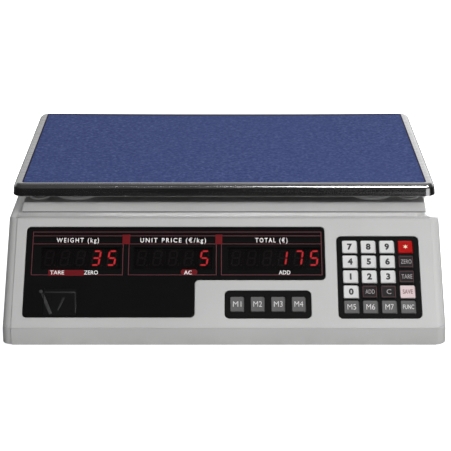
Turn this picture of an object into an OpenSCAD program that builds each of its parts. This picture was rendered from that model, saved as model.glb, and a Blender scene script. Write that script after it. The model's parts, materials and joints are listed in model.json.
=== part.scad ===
// Price-computing retail scale: a sloped front panel with three LED read-outs and
// two keypads, and a stainless pan on a load cell. Millimetres, +Z up, front at -Y.
// The origin is under the middle of the housing, on the surface it stands on.

/* [Housing] */
// Width of the housing
body_w = 350; // [348:1:356]
// Depth of the housing, front skirt to back
body_d = 325; // [324:1:330]
// Height of the housing's lower edge above the table
skirt_z = 4; // [4:0.1:4.3]
// Height of the skirt below the seam
skirt_h = 13.2; // [13:0.1:13.5]
// Slope of the front panel from the horizontal
slope = 44; // [43.8:0.1:44.4]
// Height of the ledge between the panel and the plinth
ledge_z = 85.7; // [85.4:0.1:86.5]
// Depth of that ledge
ledge_d = 13.6; // [13:0.1:15]
// Height of the plinth above the ledge
plinth_h = 8.2; // [7.6:0.1:8.6]
// How far the plinth's sides are set in from the raised middle
plinth_in = 2.2; // [1.5:0.1:3]
// Wall thickness
wall = 2.5; // [2.4:0.05:2.6]
// Radius of the upright corners and of the panel's side edges
corner_r = 7; // [6:0.5:8]

/* [Pan] */
// Width of the pan
pan_w = 342; // [338:1:344]
// Depth of the pan
pan_d = 230; // [226:1:232]
// Depth of the pan's rim
rim_h = 10; // [9:0.5:11]
// Sheet thickness of the pan
pan_t = 1; // [0.8:0.1:1.2]
// Height of the pan's top face above the table
pan_top = 112.5; // [112:0.1:114]
// Distance of the pan's middle behind the housing's middle
pan_y = 26.1; // [25:0.1:27]
// Radius of the pan's corners seen from above
pan_r = 8; // [6:0.5:10]
// Uncovered border in front of the protective film
film_in = 5.8; // [4:0.2:8]
// Uncovered border at the sides of the film
film_side = 6.8; // [5:0.2:9]

/* [Keypads] */
// Width of a main key
key_w = 12.1; // [11.6:0.1:12.5]
// Height of a main key, up the slope
key_h = 10.9; // [10.4:0.1:11.2]
// Pitch of the main keys across
key_px = 14.95; // [14.8:0.05:15.1]
// Pitch of the main keys up the slope
key_ps = 13.35; // [13.2:0.05:13.5]
// Width of a memory key
mem_w = 11.1; // [10.6:0.1:11.6]
// Height of a memory key
mem_h = 12.7; // [12.2:0.1:13]
// Pitch of the memory keys
mem_px = 16.25; // [16:0.05:16.5]
// How far a key goes down
key_travel = 0.6; // [0.4:0.1:0.6]

/* [Read-outs] */
// Pitch of the LED digit modules
digit_p = 12.55; // [12.5:0.05:12.6]
// Height of an LED digit module
digit_h = 19; // [18:0.5:19.5]

/* [Weighing] */
// Length of the load cell
cell_l = 130; // [128:1:134]
// Spacing of the pan supports across
post_x = 244; // [240:1:246]
// Spacing of the pan supports front to back
post_y = 160; // [156:1:162]
// Free travel down to the overload stops
stop_gap = 0.6; // [0.55:0.05:0.8]

/* [Feet] */
// Spacing of the levelling feet across
foot_x = 290; // [286:1:292]
// Spacing of the levelling feet front to back
foot_y = 264; // [260:1:266]

/* [Hidden] */
$fn = 48;
e = 0.02;

KEY_NAMES = concat(
    [for (i = [0:9]) str("digit_key_", i)],
    ["star_key", "zero_key", "tare_key", "add_key", "clear_key", "save_key", "func_key"],
    [for (i = [1:7]) str("memory_key_", i)]);
FEET = ["front_left", "front_right", "rear_left", "rear_right"];

hw = body_w / 2;
y0 = -body_d / 2;
yr = body_d / 2;
seam_z = skirt_z + skirt_h;
floor_z = skirt_z + wall;
sA = sin(slope);
cA = cos(slope);
panel_l = (ledge_z - seam_z) / sA;
ledge_y = y0 + panel_l * cA;
plinth_y = ledge_y + ledge_d;
plinth_z = ledge_z + plinth_h;
plinth_yr = yr - 32.5;
strip = 1;              // how far the middle of the front stands proud of the corner strips
strip_w = 7.5;          // width of the corner strips
plinth_x = hw - strip_w - plinth_in;
side_z = ledge_z - 0.8; // top of the side ledges
rear_run = 22;          // how far the back leans forward
rear_a = atan2(side_z - seam_z, rear_run);
rear_l = norm([rear_run, side_z - seam_z]);
win_t = 1.2;

// Layout on the front panel: [x low, s low, x high, s high], s up the slope from the seam
WIN = [-159.5, 9, 81, 90];
WIN_STEP = [-23.3, 41.8];
PAD = [90.2, 8, 156.4, 81.4];
MEM = [0.3, 8.1, 69.1, 32.8];
pad_c = [(PAD[0] + PAD[2]) / 2, (PAD[1] + PAD[3]) / 2];
mem_c = [(MEM[0] + MEM[2]) / 2, (MEM[1] + MEM[3]) / 2];
digit_s = 61.2;
// Middle of the rightmost digit, and number of digits, of each read-out
READOUTS = [[-89.7, 5], [-15.7, 5], [72.3, 6]];
REAR_READOUTS = [[-56.5, 5], [17.5, 5], [106, 6]];

// Heights of the weighing parts
frame_z = floor_z + 2;
frame_t = 3;
cell_z = frame_z + frame_t + 23.5;
cell_h = 22;
cell_w = 30;
hub_z = cell_z + cell_h + 5;
hub_t = 5;
pan_in = pan_top - pan_t;

// ---------- outlines ----------
function unit(v) = v / norm(v);
function corner(a, b, c, r, n) =
    let (u = unit(a - b), v = unit(c - b), half = acos(u * v) / 2,
         m = b + unit(u + v) * r / sin(half), p = b + u * r / tan(half), q = b + v * r / tan(half),
         a0 = atan2(p[1] - m[1], p[0] - m[0]), a1 = atan2(q[1] - m[1], q[0] - m[0]),
         da = a1 - a0 > 180 ? a1 - a0 - 360 : (a1 - a0 < -180 ? a1 - a0 + 360 : a1 - a0))
    [for (i = [0:n]) m + r * [cos(a0 + da * i / n), sin(a0 + da * i / n)]];
function xy(p) = [p[0], p[1]];
// Points [x, y, r] to an outline with each corner rounded to its own r
function rounded(p, n = 6) = let (k = len(p))
    [for (i = [0:k - 1]) each (p[i][2] > 0
        ? corner(xy(p[(i + k - 1) % k]), xy(p[i]), xy(p[(i + 1) % k]), p[i][2], n)
        : [xy(p[i])])];
function rect(b, r, g = 0) = [[b[0] + g, b[1] + g, r], [b[2] - g, b[1] + g, r],
                              [b[2] - g, b[3] - g, r], [b[0] + g, b[3] - g, r]];
function about(c, w, h) = [c[0] - w / 2, c[1] - h / 2, c[0] + w / 2, c[1] + h / 2];

module slab(p, z0, z1, n = 6) {
    translate([0, 0, z0]) linear_extrude(z1 - z0) polygon(rounded(p, n));
}
module block(x, y, z) {
    translate([x[0], y[0], z[0]]) cube([x[1] - x[0], y[1] - y[0], z[1] - z[0]]);
}
module rod(x, y, z0, z1, r) {
    translate([x, y, z0]) cylinder(h = z1 - z0, r = r);
}
// An outline in Y and Z, drawn out along X
module along_x(p, x0, x1, n = 6) {
    translate([x0, 0, 0]) rotate([90, 0, 90]) linear_extrude(x1 - x0) polygon(rounded(p, n));
}
// An outline in X and Z, drawn out along Y
module along_y(p, ya, yb, n = 6) {
    translate([0, yb, 0]) rotate([90, 0, 0]) linear_extrude(yb - ya) polygon(rounded(p, n));
}
module on_panel() {
    translate([0, y0, seam_z]) rotate([slope, 0, 0]) children();
}
module on_rear() {
    translate([0, yr, seam_z]) rotate([0, 0, 180]) rotate([rear_a, 0, 0]) children();
}
function at_foot(i) = [(i % 2 == 0 ? -1 : 1) * foot_x / 2, (i < 2 ? -1 : 1) * foot_y / 2];
function at_post(i) = [(i % 2 == 0 ? -1 : 1) * post_x / 2, pan_y + (i < 2 ? -1 : 1) * post_y / 2];
function at_screw(i) = [(i % 2 == 0 ? -1 : 1) * (hw - 10), (i < 2 ? -1 : 1) * (body_d / 2 - 16.5)];

// ---------- housing ----------
// The body drawn in by t on every face; the front panel sits d below the panel plane
module body_form(t, d, z_low, r) {
    pz = seam_z - d * cA;
    py = y0 + d * sA;
    top = side_z - t;
    yf = y0 + strip + t;
    yb = yr - t;
    intersection() {
        along_x([[yf, z_low, 0], [yf, pz + (yf - py) * sA / cA, 0],
                 [py + (top - pz) * cA / sA, top, t > 0 ? 0 : 1.5],
                 [yr - rear_run - t * 1.05, top, t > 0 ? 1 : 3], [yb, seam_z, 0], [yb, z_low, 0]],
                -hw + t, hw - t, 4);
        slab([[-hw + t, yf, r], [hw - t, yf, r], [hw - t, yb, r], [-hw + t, yb, r]], z_low, side_z + 1, 8);
        on_panel() along_y([[-hw + t, -400, 0], [hw - t, -400, 0], [hw - t, -d, r], [-hw + t, -d, r]],
                           -60, 400, 8);
        on_rear() along_y([[-hw + t, -500, 0], [hw - t, -500, 0], [hw - t, -t, r], [-hw + t, -t, r]],
                          -60, 400, 8);
        along_y([[-hw + t, z_low, 0], [hw - t, z_low, 0], [hw - t, top, t > 0 ? 1 : 3],
                 [-hw + t, top, t > 0 ? 1 : 3]], y0 - 1, yr + 1, 5);
    }
}
module raised_form() {
    along_x([[y0, skirt_z, 0], [y0, seam_z, 0.8], [ledge_y, ledge_z, 1.5], [plinth_yr + 3, ledge_z, 0],
             [plinth_yr + 3, side_z - 8, 0], [y0 + 40, skirt_z, 0]], -hw + strip_w, hw - strip_w, 5);
    along_x([[plinth_y, side_z - 8, 0], [plinth_y, plinth_z, 2], [plinth_yr, plinth_z, 2],
             [plinth_yr, side_z - 8, 0]], -plinth_x, plinth_x, 5);
}
module housing_form() {
    body_form(0, strip, skirt_z, corner_r);
    raised_form();
}
module housing_hollow() {
    body_form(wall, strip + 2, floor_z, corner_r - 2.5);
    block([wall - plinth_x, plinth_x - wall], [plinth_y + wall, plinth_yr - wall],
          [side_z - wall - 6, plinth_z - wall]);
}
module window_outline(g) {
    r = 3.5;
    polygon(rounded([[WIN[0] + g, WIN[1] + g, r], [WIN_STEP[0] - g, WIN[1] + g, r],
                     [WIN_STEP[0] - g, WIN_STEP[1] + g, r], [WIN[2] - g, WIN_STEP[1] + g, r],
                     [WIN[2] - g, WIN[3] - g, r], [WIN[0] + g, WIN[3] - g, r]]));
}
// The gap a keypad leaves in the panel: a shallow tray and a smaller hole through it
module pad_cut(b, o) {
    slab(rect(b, 4), -1.2, 2);
    slab(rect(o, 2), -5, 1);
}
pad_open = about(pad_c, 3 * key_px + key_w + 2.8, 4 * key_ps + key_h + 2.8);
mem_open = about(mem_c, 3 * mem_px + mem_w + 2.8, mem_h + 2.8);
digit_open = [WIN[0] + 4, 45, WIN[2] - 2.1, 86];
rear_win = [-120, 12, 120, 60];
rear_open = [-116, 24, 116, 54];
inlet_y = 95;
inlet_z = seam_z + 29.8;
module pad_seat(o) {
    difference() {
        slab(rect(o, 2, -3), -4, -2.9);
        slab(rect(o, 2, -0.5), -5, -2);
    }
}
LEVEL = [0, -52];

module upper_housing() {
    color([0.83, 0.83, 0.83]) difference() {
        union() {
            difference() {
                intersection() {
                    housing_form();
                    block([-400, 400], [-400, 400], [seam_z, 400]);
                }
                housing_hollow();
            }
            // Raised collars round the pan supports, and screw plugs outside them
            for (i = [0:3]) {
                p = at_post(i);
                rod(p[0], p[1], plinth_z - 1, plinth_z + 2, 17);
                rod(p[0] + (i % 2 == 0 ? -31 : 31), p[1] - 7, plinth_z - 1, plinth_z + 1.2, 9);
            }
            // Cup for the bubble level
            rod(LEVEL[0], LEVEL[1], plinth_z - 10.4, plinth_z - 1, 10);
            // Screw bosses, cut off by the outside
            intersection() {
                body_form(1, strip + 1, seam_z - 4, corner_r - 1);
                for (i = [0:3]) rod(at_screw(i)[0], at_screw(i)[1], seam_z - 4, seam_z + 50, 3.5);
            }
            // Seats of the key boards and posts of the display boards
            on_panel() {
                pad_seat(pad_open);
                pad_seat(mem_open);
                for (x = [-150, -78.8, -4.2, 74], s = [42.2, 89])
                    rod(x, s, -10.9, -2.9, 2.4);
            }
            on_rear() for (x = [-112, 0, 112], s = [15, 60]) rod(x, s, -10.6, -2, 2.4);
            // Thicker wall round the mains inlet
            block([hw - wall - 2.5, hw - wall + e], [inlet_y - 33, inlet_y + 33],
                  [inlet_z - 19.5, inlet_z + 19.5]);
        }
        // Front panel: window tray, read-out opening, keypads
        on_panel() {
            translate([0, 0, -1.5]) linear_extrude(4) window_outline(0);
            slab(rect(digit_open, 1.5), -5, 1);
            pad_cut(PAD, pad_open);
            pad_cut(MEM, mem_open);
        }
        // Groove at the foot of the plinth
        block([-plinth_x - 1, plinth_x + 1], [plinth_y - 1, plinth_y + e], [ledge_z - 0.8, ledge_z + e]);
        // Back panel
        on_rear() {
            slab(rect(rear_win, 3.5), -1.5, 2);
            slab(rect(rear_open, 1.5), -5, 1);
        }
        for (i = [0:3]) {
            p = at_post(i);
            rod(p[0], p[1], plinth_z - 5, plinth_z + 5, 13);
            rod(at_screw(i)[0], at_screw(i)[1], seam_z - 10, seam_z + 6, 1.5);
        }
        rod(LEVEL[0], LEVEL[1], plinth_z - 8.1, plinth_z + 5, 7.8);
        // Mains inlet
        block([hw - 2.2, hw + 2], [inlet_y - 29.2, inlet_y + 29.2], [inlet_z - 15.7, inlet_z + 15.7]);
        block([hw - 8, hw + 2], [inlet_y - 24, inlet_y + 24], [inlet_z - 13.7, inlet_z + 13.7]);
    }
}

DOOR = [16, 63.4, 125, 141.4];
module lower_housing() {
    color([0.80, 0.80, 0.80]) difference() {
        union() {
            difference() {
                intersection() {
                    housing_form();
                    block([-400, 400], [-400, 400], [skirt_z, seam_z - 0.15]);
                }
                body_form(wall, strip + 2, floor_z, corner_r - 2.5);
            }
            // Lips that locate the upper housing
            for (s = [-1, 1])
                block([s * (hw - wall - 1) - 0.8, s * (hw - wall - 1) + 0.8], [y0 + 30, yr - 30],
                      [floor_z - 1, seam_z + 3]);
            for (i = [0:3]) {
                f = at_foot(i);
                rod(f[0], f[1], skirt_z, skirt_z + 7.1, 17.5);
                rod(f[0], f[1], skirt_z, skirt_z + 21, 7);
                rod(at_screw(i)[0], at_screw(i)[1], skirt_z, seam_z - 4.2, 4.2);
            }
            // Bosses of the base frame and of the main board
            for (x = [-104, 104], y = [-26, 50]) rod(x, y, skirt_z, frame_z, 5);
            for (x = [-114, 14], y = [-106, -52]) {
                rod(x, y, skirt_z, floor_z + 5.5, 3.5);
                rod(x, y, skirt_z, floor_z + 9, 1.4);
            }
            // Battery well and transformer rails
            difference() {
                slab(rect(DOOR, 3, 1), floor_z - 1, floor_z + 19);
                slab(rect(DOOR, 2, 3), floor_z - 2, floor_z + 20);
            }
            for (x = [-121.5, -58.5]) block([x - 1.2, x + 1.2], [86, 134], [floor_z - 1, floor_z + 6]);
        }
        // Battery opening with a step for its cover
        slab(rect(DOOR, 2, 3), skirt_z - 1, floor_z + 2);
        slab(rect(DOOR, 4, 0), skirt_z - 1, skirt_z + 1.3);
        for (i = [0:3]) {
            f = at_foot(i);
            rod(f[0], f[1], skirt_z - 1, skirt_z + 4.6, 15);
            rod(f[0], f[1], skirt_z - 1, skirt_z + 30, 3.05);
            rod(at_screw(i)[0], at_screw(i)[1], skirt_z - 1, skirt_z + 6, 3.9);
            rod(at_screw(i)[0], at_screw(i)[1], skirt_z - 1, seam_z, 1.8);
        }
        for (x = [-104, 104], y = [-26, 50]) rod(x, y, skirt_z + 0.9, frame_z + 1, 2.1);
    }
}

module housing_screws() {
    color([0.62, 0.62, 0.64]) for (i = [0:3]) difference() {
        union() {
            rod(at_screw(i)[0], at_screw(i)[1], skirt_z + 3.6, skirt_z + 6, 3.4);
            rod(at_screw(i)[0], at_screw(i)[1], skirt_z + 6 - e, seam_z + 4.5, 1.42);
        }
        for (a = [0, 90]) translate([at_screw(i)[0], at_screw(i)[1], skirt_z + 4.1]) rotate([0, 0, a])
            cube([3.6, 0.8, 1.2], center = true);
    }
}

module battery_cover() {
    color([0.78, 0.78, 0.78]) difference() {
        union() {
            slab(rect(DOOR, 3.8, 0.25), skirt_z + 0.1, skirt_z + 1.2);
            slab(rect(DOOR, 1.8, 3.3), skirt_z + 1.1, skirt_z + 2.6);
        }
        // Finger notch and grip lines
        for (i = [0:4]) block([60, 81], [67 + i * 2.6, 68.2 + i * 2.6], [skirt_z, skirt_z + 0.6]);
    }
}

// ---------- feet ----------
foot_ripple = [for (i = [0:71]) let (r = 13.6 + 0.4 * cos(i * 5 * 18)) [r * cos(i * 5), r * sin(i * 5)]];
module foot_pad(i) {
    color([0.12, 0.12, 0.12]) {
        rod(at_foot(i)[0], at_foot(i)[1], 0, skirt_z - 0.8, 13);
        rod(at_foot(i)[0], at_foot(i)[1], skirt_z - 0.9, skirt_z + 2, 3.95);
    }
}
module foot_stud(i) {
    color([0.2, 0.2, 0.21]) difference() {
        union() {
            translate([at_foot(i)[0], at_foot(i)[1], skirt_z - 0.65]) linear_extrude(4.95) polygon(foot_ripple);
            rod(at_foot(i)[0], at_foot(i)[1], skirt_z + 4.2, skirt_z + 20, 3);
        }
        rod(at_foot(i)[0], at_foot(i)[1], skirt_z - 2, skirt_z + 2.4, 4);
    }
}
module foot_pad_front_left() { foot_pad(0); }
module foot_pad_front_right() { foot_pad(1); }
module foot_pad_rear_left() { foot_pad(2); }
module foot_pad_rear_right() { foot_pad(3); }
module foot_stud_front_left() { foot_stud(0); }
module foot_stud_front_right() { foot_stud(1); }
module foot_stud_rear_left() { foot_stud(2); }
module foot_stud_rear_right() { foot_stud(3); }

// ---------- weighing parts ----------
CELL_BOLTS = [cell_l / 2 - 7.5, cell_l / 2 - 22.5];
module base_frame() {
    top = frame_z + frame_t;
    color([0.55, 0.56, 0.58]) difference() {
        union() {
            slab(rect([-118, -38, 118, 61.8], 6), frame_z, top);
            // Stiffening ribs and the pedestal of the fixed end
            difference() {
                slab(rect([-116, -36, 116, 60], 5), top - 1, top + 5);
                slab(rect([-116, -36, 116, 60], 3, 2.5), top - 2, top + 6);
            }
            block([-cell_l / 2, -cell_l / 2 + 30], [pan_y - 15, pan_y + 15], [top - 1, cell_z]);
            for (y = [[-34, 12], [40, 58]]) block([-51.5, -48.5], y, [top - 1, top + 12]);
        }
        for (x = CELL_BOLTS) {
            rod(-x, pan_y, frame_z - 1, cell_z + 1, 3.2);
            rod(-x, pan_y, frame_z - 1, frame_z + 7, 5.6);
        }
        for (x = [-104, 104], y = [-26, 50]) rod(x, y, frame_z - 1, top + 1, 2.3);
        for (x = [-1, 1], y = [-1, 1]) rod(x * 62, pan_y + y * 26, frame_z - 1, top + 1, 2.6);
        for (x = [0, 50, 88]) slab(rect([x - 14, 8, x + 14, 44], 4), frame_z - 1, top + 1);
    }
}
module frame_screws() {
    color([0.70, 0.70, 0.72]) {
        for (x = CELL_BOLTS) difference() {
            union() {
                rod(-x, pan_y, frame_z + 1, frame_z + 7, 5);
                rod(-x, pan_y, frame_z + 7 - e, cell_z + 12, 2.95);
            }
            translate([-x, pan_y, frame_z + 0.5]) cylinder(h = 3.5, r = 2.9, $fn = 6);
        }
        for (x = [-104, 104], y = [-26, 50]) difference() {
            union() {
                rod(x, y, frame_z + frame_t, frame_z + frame_t + 3, 4);
                rod(x, y, skirt_z + 1.2, frame_z + frame_t + e, 2);
            }
            for (a = [0, 90]) translate([x, y, frame_z + frame_t + 2.6]) rotate([0, 0, a])
                cube([4.4, 0.9, 1.6], center = true);
        }
    }
}
module load_cell() {
    color([0.78, 0.79, 0.80]) difference() {
        block([-cell_l / 2, cell_l / 2], [pan_y - cell_w / 2, pan_y + cell_w / 2], [cell_z, cell_z + cell_h]);
        // Twin-hole cut that makes the flexures
        for (x = [-9, 9]) translate([x, pan_y, cell_z + cell_h / 2]) rotate([90, 0, 0])
            cylinder(h = cell_w + 2, r = 7.4, center = true);
        block([-9, 9], [pan_y - cell_w, pan_y + cell_w], [cell_z + 7.5, cell_z + cell_h - 7.5]);
        for (x = CELL_BOLTS) {
            rod(-x, pan_y, cell_z - 1, cell_z + 14, 3.05);
            rod(x, pan_y, cell_z + cell_h - 14, cell_z + cell_h + 1, 3.05);
        }
    }
}
module overload_stops() {
    top = frame_z + frame_t;
    color([0.72, 0.72, 0.70]) for (x = [-1, 1], y = [-1, 1]) translate([x * 62, pan_y + y * 26, 0]) {
        translate([0, 0, top]) cylinder(h = 5, r = 5, $fn = 6);
        rod(0, 0, frame_z + 0.2, hub_z - stop_gap, 2.5);
    }
}
module pan_spider() {
    top = hub_z + hub_t;
    color([0.70, 0.71, 0.73]) difference() {
        union() {
            slab(rect([-75, pan_y - 38, 75, pan_y + 38], 8), hub_z, top);
            block([cell_l / 2 - 31, cell_l / 2 + 1], [pan_y - 15, pan_y + 15], [cell_z + cell_h, hub_z + 1]);
            // Arms out to the four supports
            for (i = [0:3]) {
                p = at_post(i);
                q = [(i % 2 == 0 ? -1 : 1) * 52, pan_y + (i < 2 ? -1 : 1) * 22];
                a = atan2(p[1] - q[1], p[0] - q[0]);
                translate([q[0], q[1], hub_z]) rotate([0, 0, a])
                    block([0, norm(p - q)], [-7, 7], [0, 12]);
                rod(p[0], p[1], hub_z, hub_z + 14, 12);
                rod(p[0], p[1], hub_z, pan_in - 5.5, 8);
                rod(p[0], p[1], hub_z, pan_in - 2.5, 4);
            }
            for (y = [-33, 30]) block([-70, 70], [pan_y + y, pan_y + y + 3], [hub_z, top + 6]);
        }
        for (x = CELL_BOLTS) rod(x, pan_y, cell_z + cell_h - 1, top + 1, 3.2);
        for (x = [-38, 0]) slab(rect([x - 14, pan_y - 20, x + 14, pan_y + 20], 5), hub_z - 1, top + 1);
    }
}
module spider_screws() {
    top = hub_z + hub_t;
    color([0.70, 0.70, 0.72]) for (x = CELL_BOLTS) difference() {
        union() {
            rod(x, pan_y, top, top + 6, 5);
            rod(x, pan_y, cell_z + cell_h - 12, top + e, 2.95);
        }
        translate([x, pan_y, top + 3]) cylinder(h = 4, r = 2.9, $fn = 6);
    }
}
module pan_pads() {
    color([0.16, 0.16, 0.17]) for (i = [0:3]) translate([at_post(i)[0], at_post(i)[1], pan_in - 5.5])
        difference() {
            cylinder(h = 5.5, r = 11);
            translate([0, 0, -1]) cylinder(h = 4.2, r = 4.05);
        }
}
// The pan's shape drawn in by t, as three outlines crossed
module pan_form(t, z_low, r, bend) {
    w = pan_w / 2 - t;
    ya = pan_y - pan_d / 2 + t;
    yb = pan_y + pan_d / 2 - t;
    top = pan_top - t;
    intersection() {
        slab([[-w, ya, r], [w, ya, r], [w, yb, r], [-w, yb, r]], z_low, top, 8);
        along_y([[-w, z_low, 0], [w, z_low, 0], [w, top, bend], [-w, top, bend]], ya - 5, yb + 5, 5);
        along_x([[ya, z_low, 0], [yb, z_low, 0], [yb, top, bend], [ya, top, bend]], -w - 5, w + 5, 5);
    }
}
module weighing_pan() {
    color([0.78, 0.78, 0.79]) {
        difference() {
            pan_form(0, pan_top - rim_h, pan_r, 2);
            pan_form(pan_t, pan_top - rim_h - 5, pan_r - pan_t, 1);
        }
        // Rings that keep the pan on its pads
        for (i = [0:3]) translate([at_post(i)[0], at_post(i)[1], pan_in - 3]) difference() {
            cylinder(h = 3 + e, r = 14);
            translate([0, 0, -1]) cylinder(h = 4, r = 12.2);
        }
    }
}
module pan_film() {
    color([0.26, 0.30, 0.47])
        slab(rect([-pan_w / 2 + film_side, pan_y - pan_d / 2 + film_in,
                   pan_w / 2 - film_side, pan_y + pan_d / 2 - 2.4], 3), pan_top, pan_top + 0.15);
}

// ---------- front panel ----------
module display_window() {
    color([0.10, 0.10, 0.11]) on_panel() translate([0, 0, -1.5]) linear_extrude(win_t) window_outline(0.15);
}
module led_block(x, s, z1) {
    slab(about_r([x, s], digit_p - 0.1, digit_h, 0.4), z1 - 8, z1, 2);
}
function about_r(c, w, h, r) = rect(about(c, w, h), r);
module front_digits() {
    color([0.20, 0.20, 0.21]) on_panel()
        for (g = READOUTS, i = [0:g[1] - 1]) led_block(g[0] - i * digit_p, digit_s, -2.9);
}
module display_board() {
    color([0.10, 0.33, 0.16]) on_panel() {
        slab(rect([WIN[0] + 1.5, 40, WIN[2] - 2, 92], 1), -12.5, -10.9);
        block([-40, -16], [43, 49], [-19, -12.4]);
        for (x = [-120, -90, 10, 40]) block([x, x + 10], [70, 77], [-14.5, -12.4]);
    }
}
module bezel(b, c, nx, ns, px, ps, w, h) {
    color([0.20, 0.20, 0.20]) on_panel() difference() {
        slab(rect(b, 3.85, 0.15), -1.2, -0.35);
        for (i = [0:nx - 1], j = [0:ns - 1])
            slab(about_r([c[0] + (i - (nx - 1) / 2) * px, c[1] + (j - (ns - 1) / 2) * ps], w + 0.4, h + 0.4, 1),
                 -2, 1, 3);
    }
}
module keypad_bezel() { bezel(PAD, pad_c, 4, 5, key_px, key_ps, key_w, key_h); }
module memory_bezel() { bezel(MEM, mem_c, 4, 1, mem_px, 0, mem_w, mem_h); }
module key_boards() {
    color([0.12, 0.30, 0.17]) on_panel() {
        slab(rect(pad_open, 1, -2.6), -5.6, -4);
        slab(rect(mem_open, 1, -2.6), -5.6, -4);
        for (i = [0:3], j = [0:4])
            slab(about_r([pad_c[0] + (i - 1.5) * key_px, pad_c[1] + (j - 2) * key_ps], 5, 5, 0.5), -4.1, -3.05, 2);
        for (i = [0:3])
            slab(about_r([mem_c[0] + (i - 1.5) * mem_px, mem_c[1]], 5, 5, 0.5), -4.1, -3.05, 2);
    }
}
// A key: a cap through the bezel and a flange that the bezel holds down
module cap(c, w, h, paint) {
    color(paint) on_panel() {
        slab(about_r(c, w, h, 0.8), -1.7, 0.6, 3);
        slab(about_r(c, w + 1.6, h + 1.6, 0.6), -2.4, -1.6, 2);
    }
}
module main_key(i, j, paint) { cap([pad_c[0] + (i - 1.5) * key_px, pad_c[1] + (2 - j) * key_ps], key_w, key_h, paint); }
module mem_key(i) { cap([mem_c[0] + (i - 1.5) * mem_px, mem_c[1]], mem_w, mem_h, GREY); }
WHITE = [0.92, 0.92, 0.92];
BLACK = [0.14, 0.13, 0.13];
GREY = [0.52, 0.52, 0.52];
RED = [0.84, 0.16, 0.14];
PINK = [0.93, 0.80, 0.81];
module digit_key_7() { main_key(0, 0, WHITE); }
module digit_key_8() { main_key(1, 0, WHITE); }
module digit_key_9() { main_key(2, 0, WHITE); }
module star_key() { main_key(3, 0, RED); }
module digit_key_4() { main_key(0, 1, WHITE); }
module digit_key_5() { main_key(1, 1, WHITE); }
module digit_key_6() { main_key(2, 1, WHITE); }
module zero_key() { main_key(3, 1, BLACK); }
module digit_key_1() { main_key(0, 2, WHITE); }
module digit_key_2() { main_key(1, 2, WHITE); }
module digit_key_3() { main_key(2, 2, WHITE); }
module tare_key() { main_key(3, 2, BLACK); }
module digit_key_0() { main_key(0, 3, WHITE); }
module add_key() { main_key(1, 3, BLACK); }
module clear_key() { main_key(2, 3, BLACK); }
module save_key() { main_key(3, 3, PINK); }
module memory_key_5() { main_key(0, 4, GREY); }
module memory_key_6() { main_key(1, 4, GREY); }
module memory_key_7() { main_key(2, 4, GREY); }
module func_key() { main_key(3, 4, GREY); }
module memory_key_1() { mem_key(0); }
module memory_key_2() { mem_key(1); }
module memory_key_3() { mem_key(2); }
module memory_key_4() { mem_key(3); }

// ---------- customer side ----------
module rear_window() {
    color([0.10, 0.10, 0.11]) on_rear() slab(rect(rear_win, 3.35, 0.15), -1.5, -0.3);
}
module rear_digits() {
    color([0.20, 0.20, 0.21]) on_rear()
        for (g = REAR_READOUTS, i = [0:g[1] - 1]) led_block(g[0] - i * digit_p, 39, -2.6);
}
module rear_board() {
    color([0.10, 0.33, 0.16]) on_rear() {
        slab(rect([-118, 12, 118, 63], 1), -12.2, -10.6);
        block([-12, 12], [17, 23], [-18, -12.1]);
    }
}

// ---------- electrics ----------
module main_board() {
    z = floor_z + 5.5;
    color([0.12, 0.36, 0.18]) difference() {
        union() {
            block([-119, 19], [-111, -47], [z, z + 1.6]);
            block([-66, -46], [-90, -70], [z + 1, z + 4.2]);
            block([-30, -18], [-92, -84], [z + 1, z + 3.4]);
            block([-105, -75], [-56, -49], [z + 1, z + 10]);
            block([-40, -10], [-57, -50], [z + 1, z + 10]);
            for (x = [-98, -84, 2]) rod(x, -84, z + 1, z + 17, 5);
            rod(-2, -66, z + 1, z + 9, 6);
        }
        for (x = [-114, 14], y = [-106, -52]) rod(x, y, z - 1, z + 3, 1.7);
    }
}
module transformer() {
    z = floor_z;
    color([0.30, 0.31, 0.33]) union() {
        block([-120, -60], [104, 118], [z + 3, z + 43]);
        slab(rect([-109, 92, -71, 130], 3), z + 5, z + 37);
        block([-117, -63], [100, 122], [z, z + 3.1]);
    }
}
module battery() {
    color([0.18, 0.19, 0.21]) union() {
        slab(rect([DOOR[0] + 4.2, DOOR[1] + 4.2, DOOR[2] - 4.2, DOOR[3] - 4.2], 2), skirt_z + 2.8, skirt_z + 49.8);
        for (y = [88, 112]) block([DOOR[0] - 0.6, DOOR[0] + 4.4], [y, y + 6], [skirt_z + 41, skirt_z + 42]);
    }
}
rocker_p = [hw - 7.8, inlet_y + 15];
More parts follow.
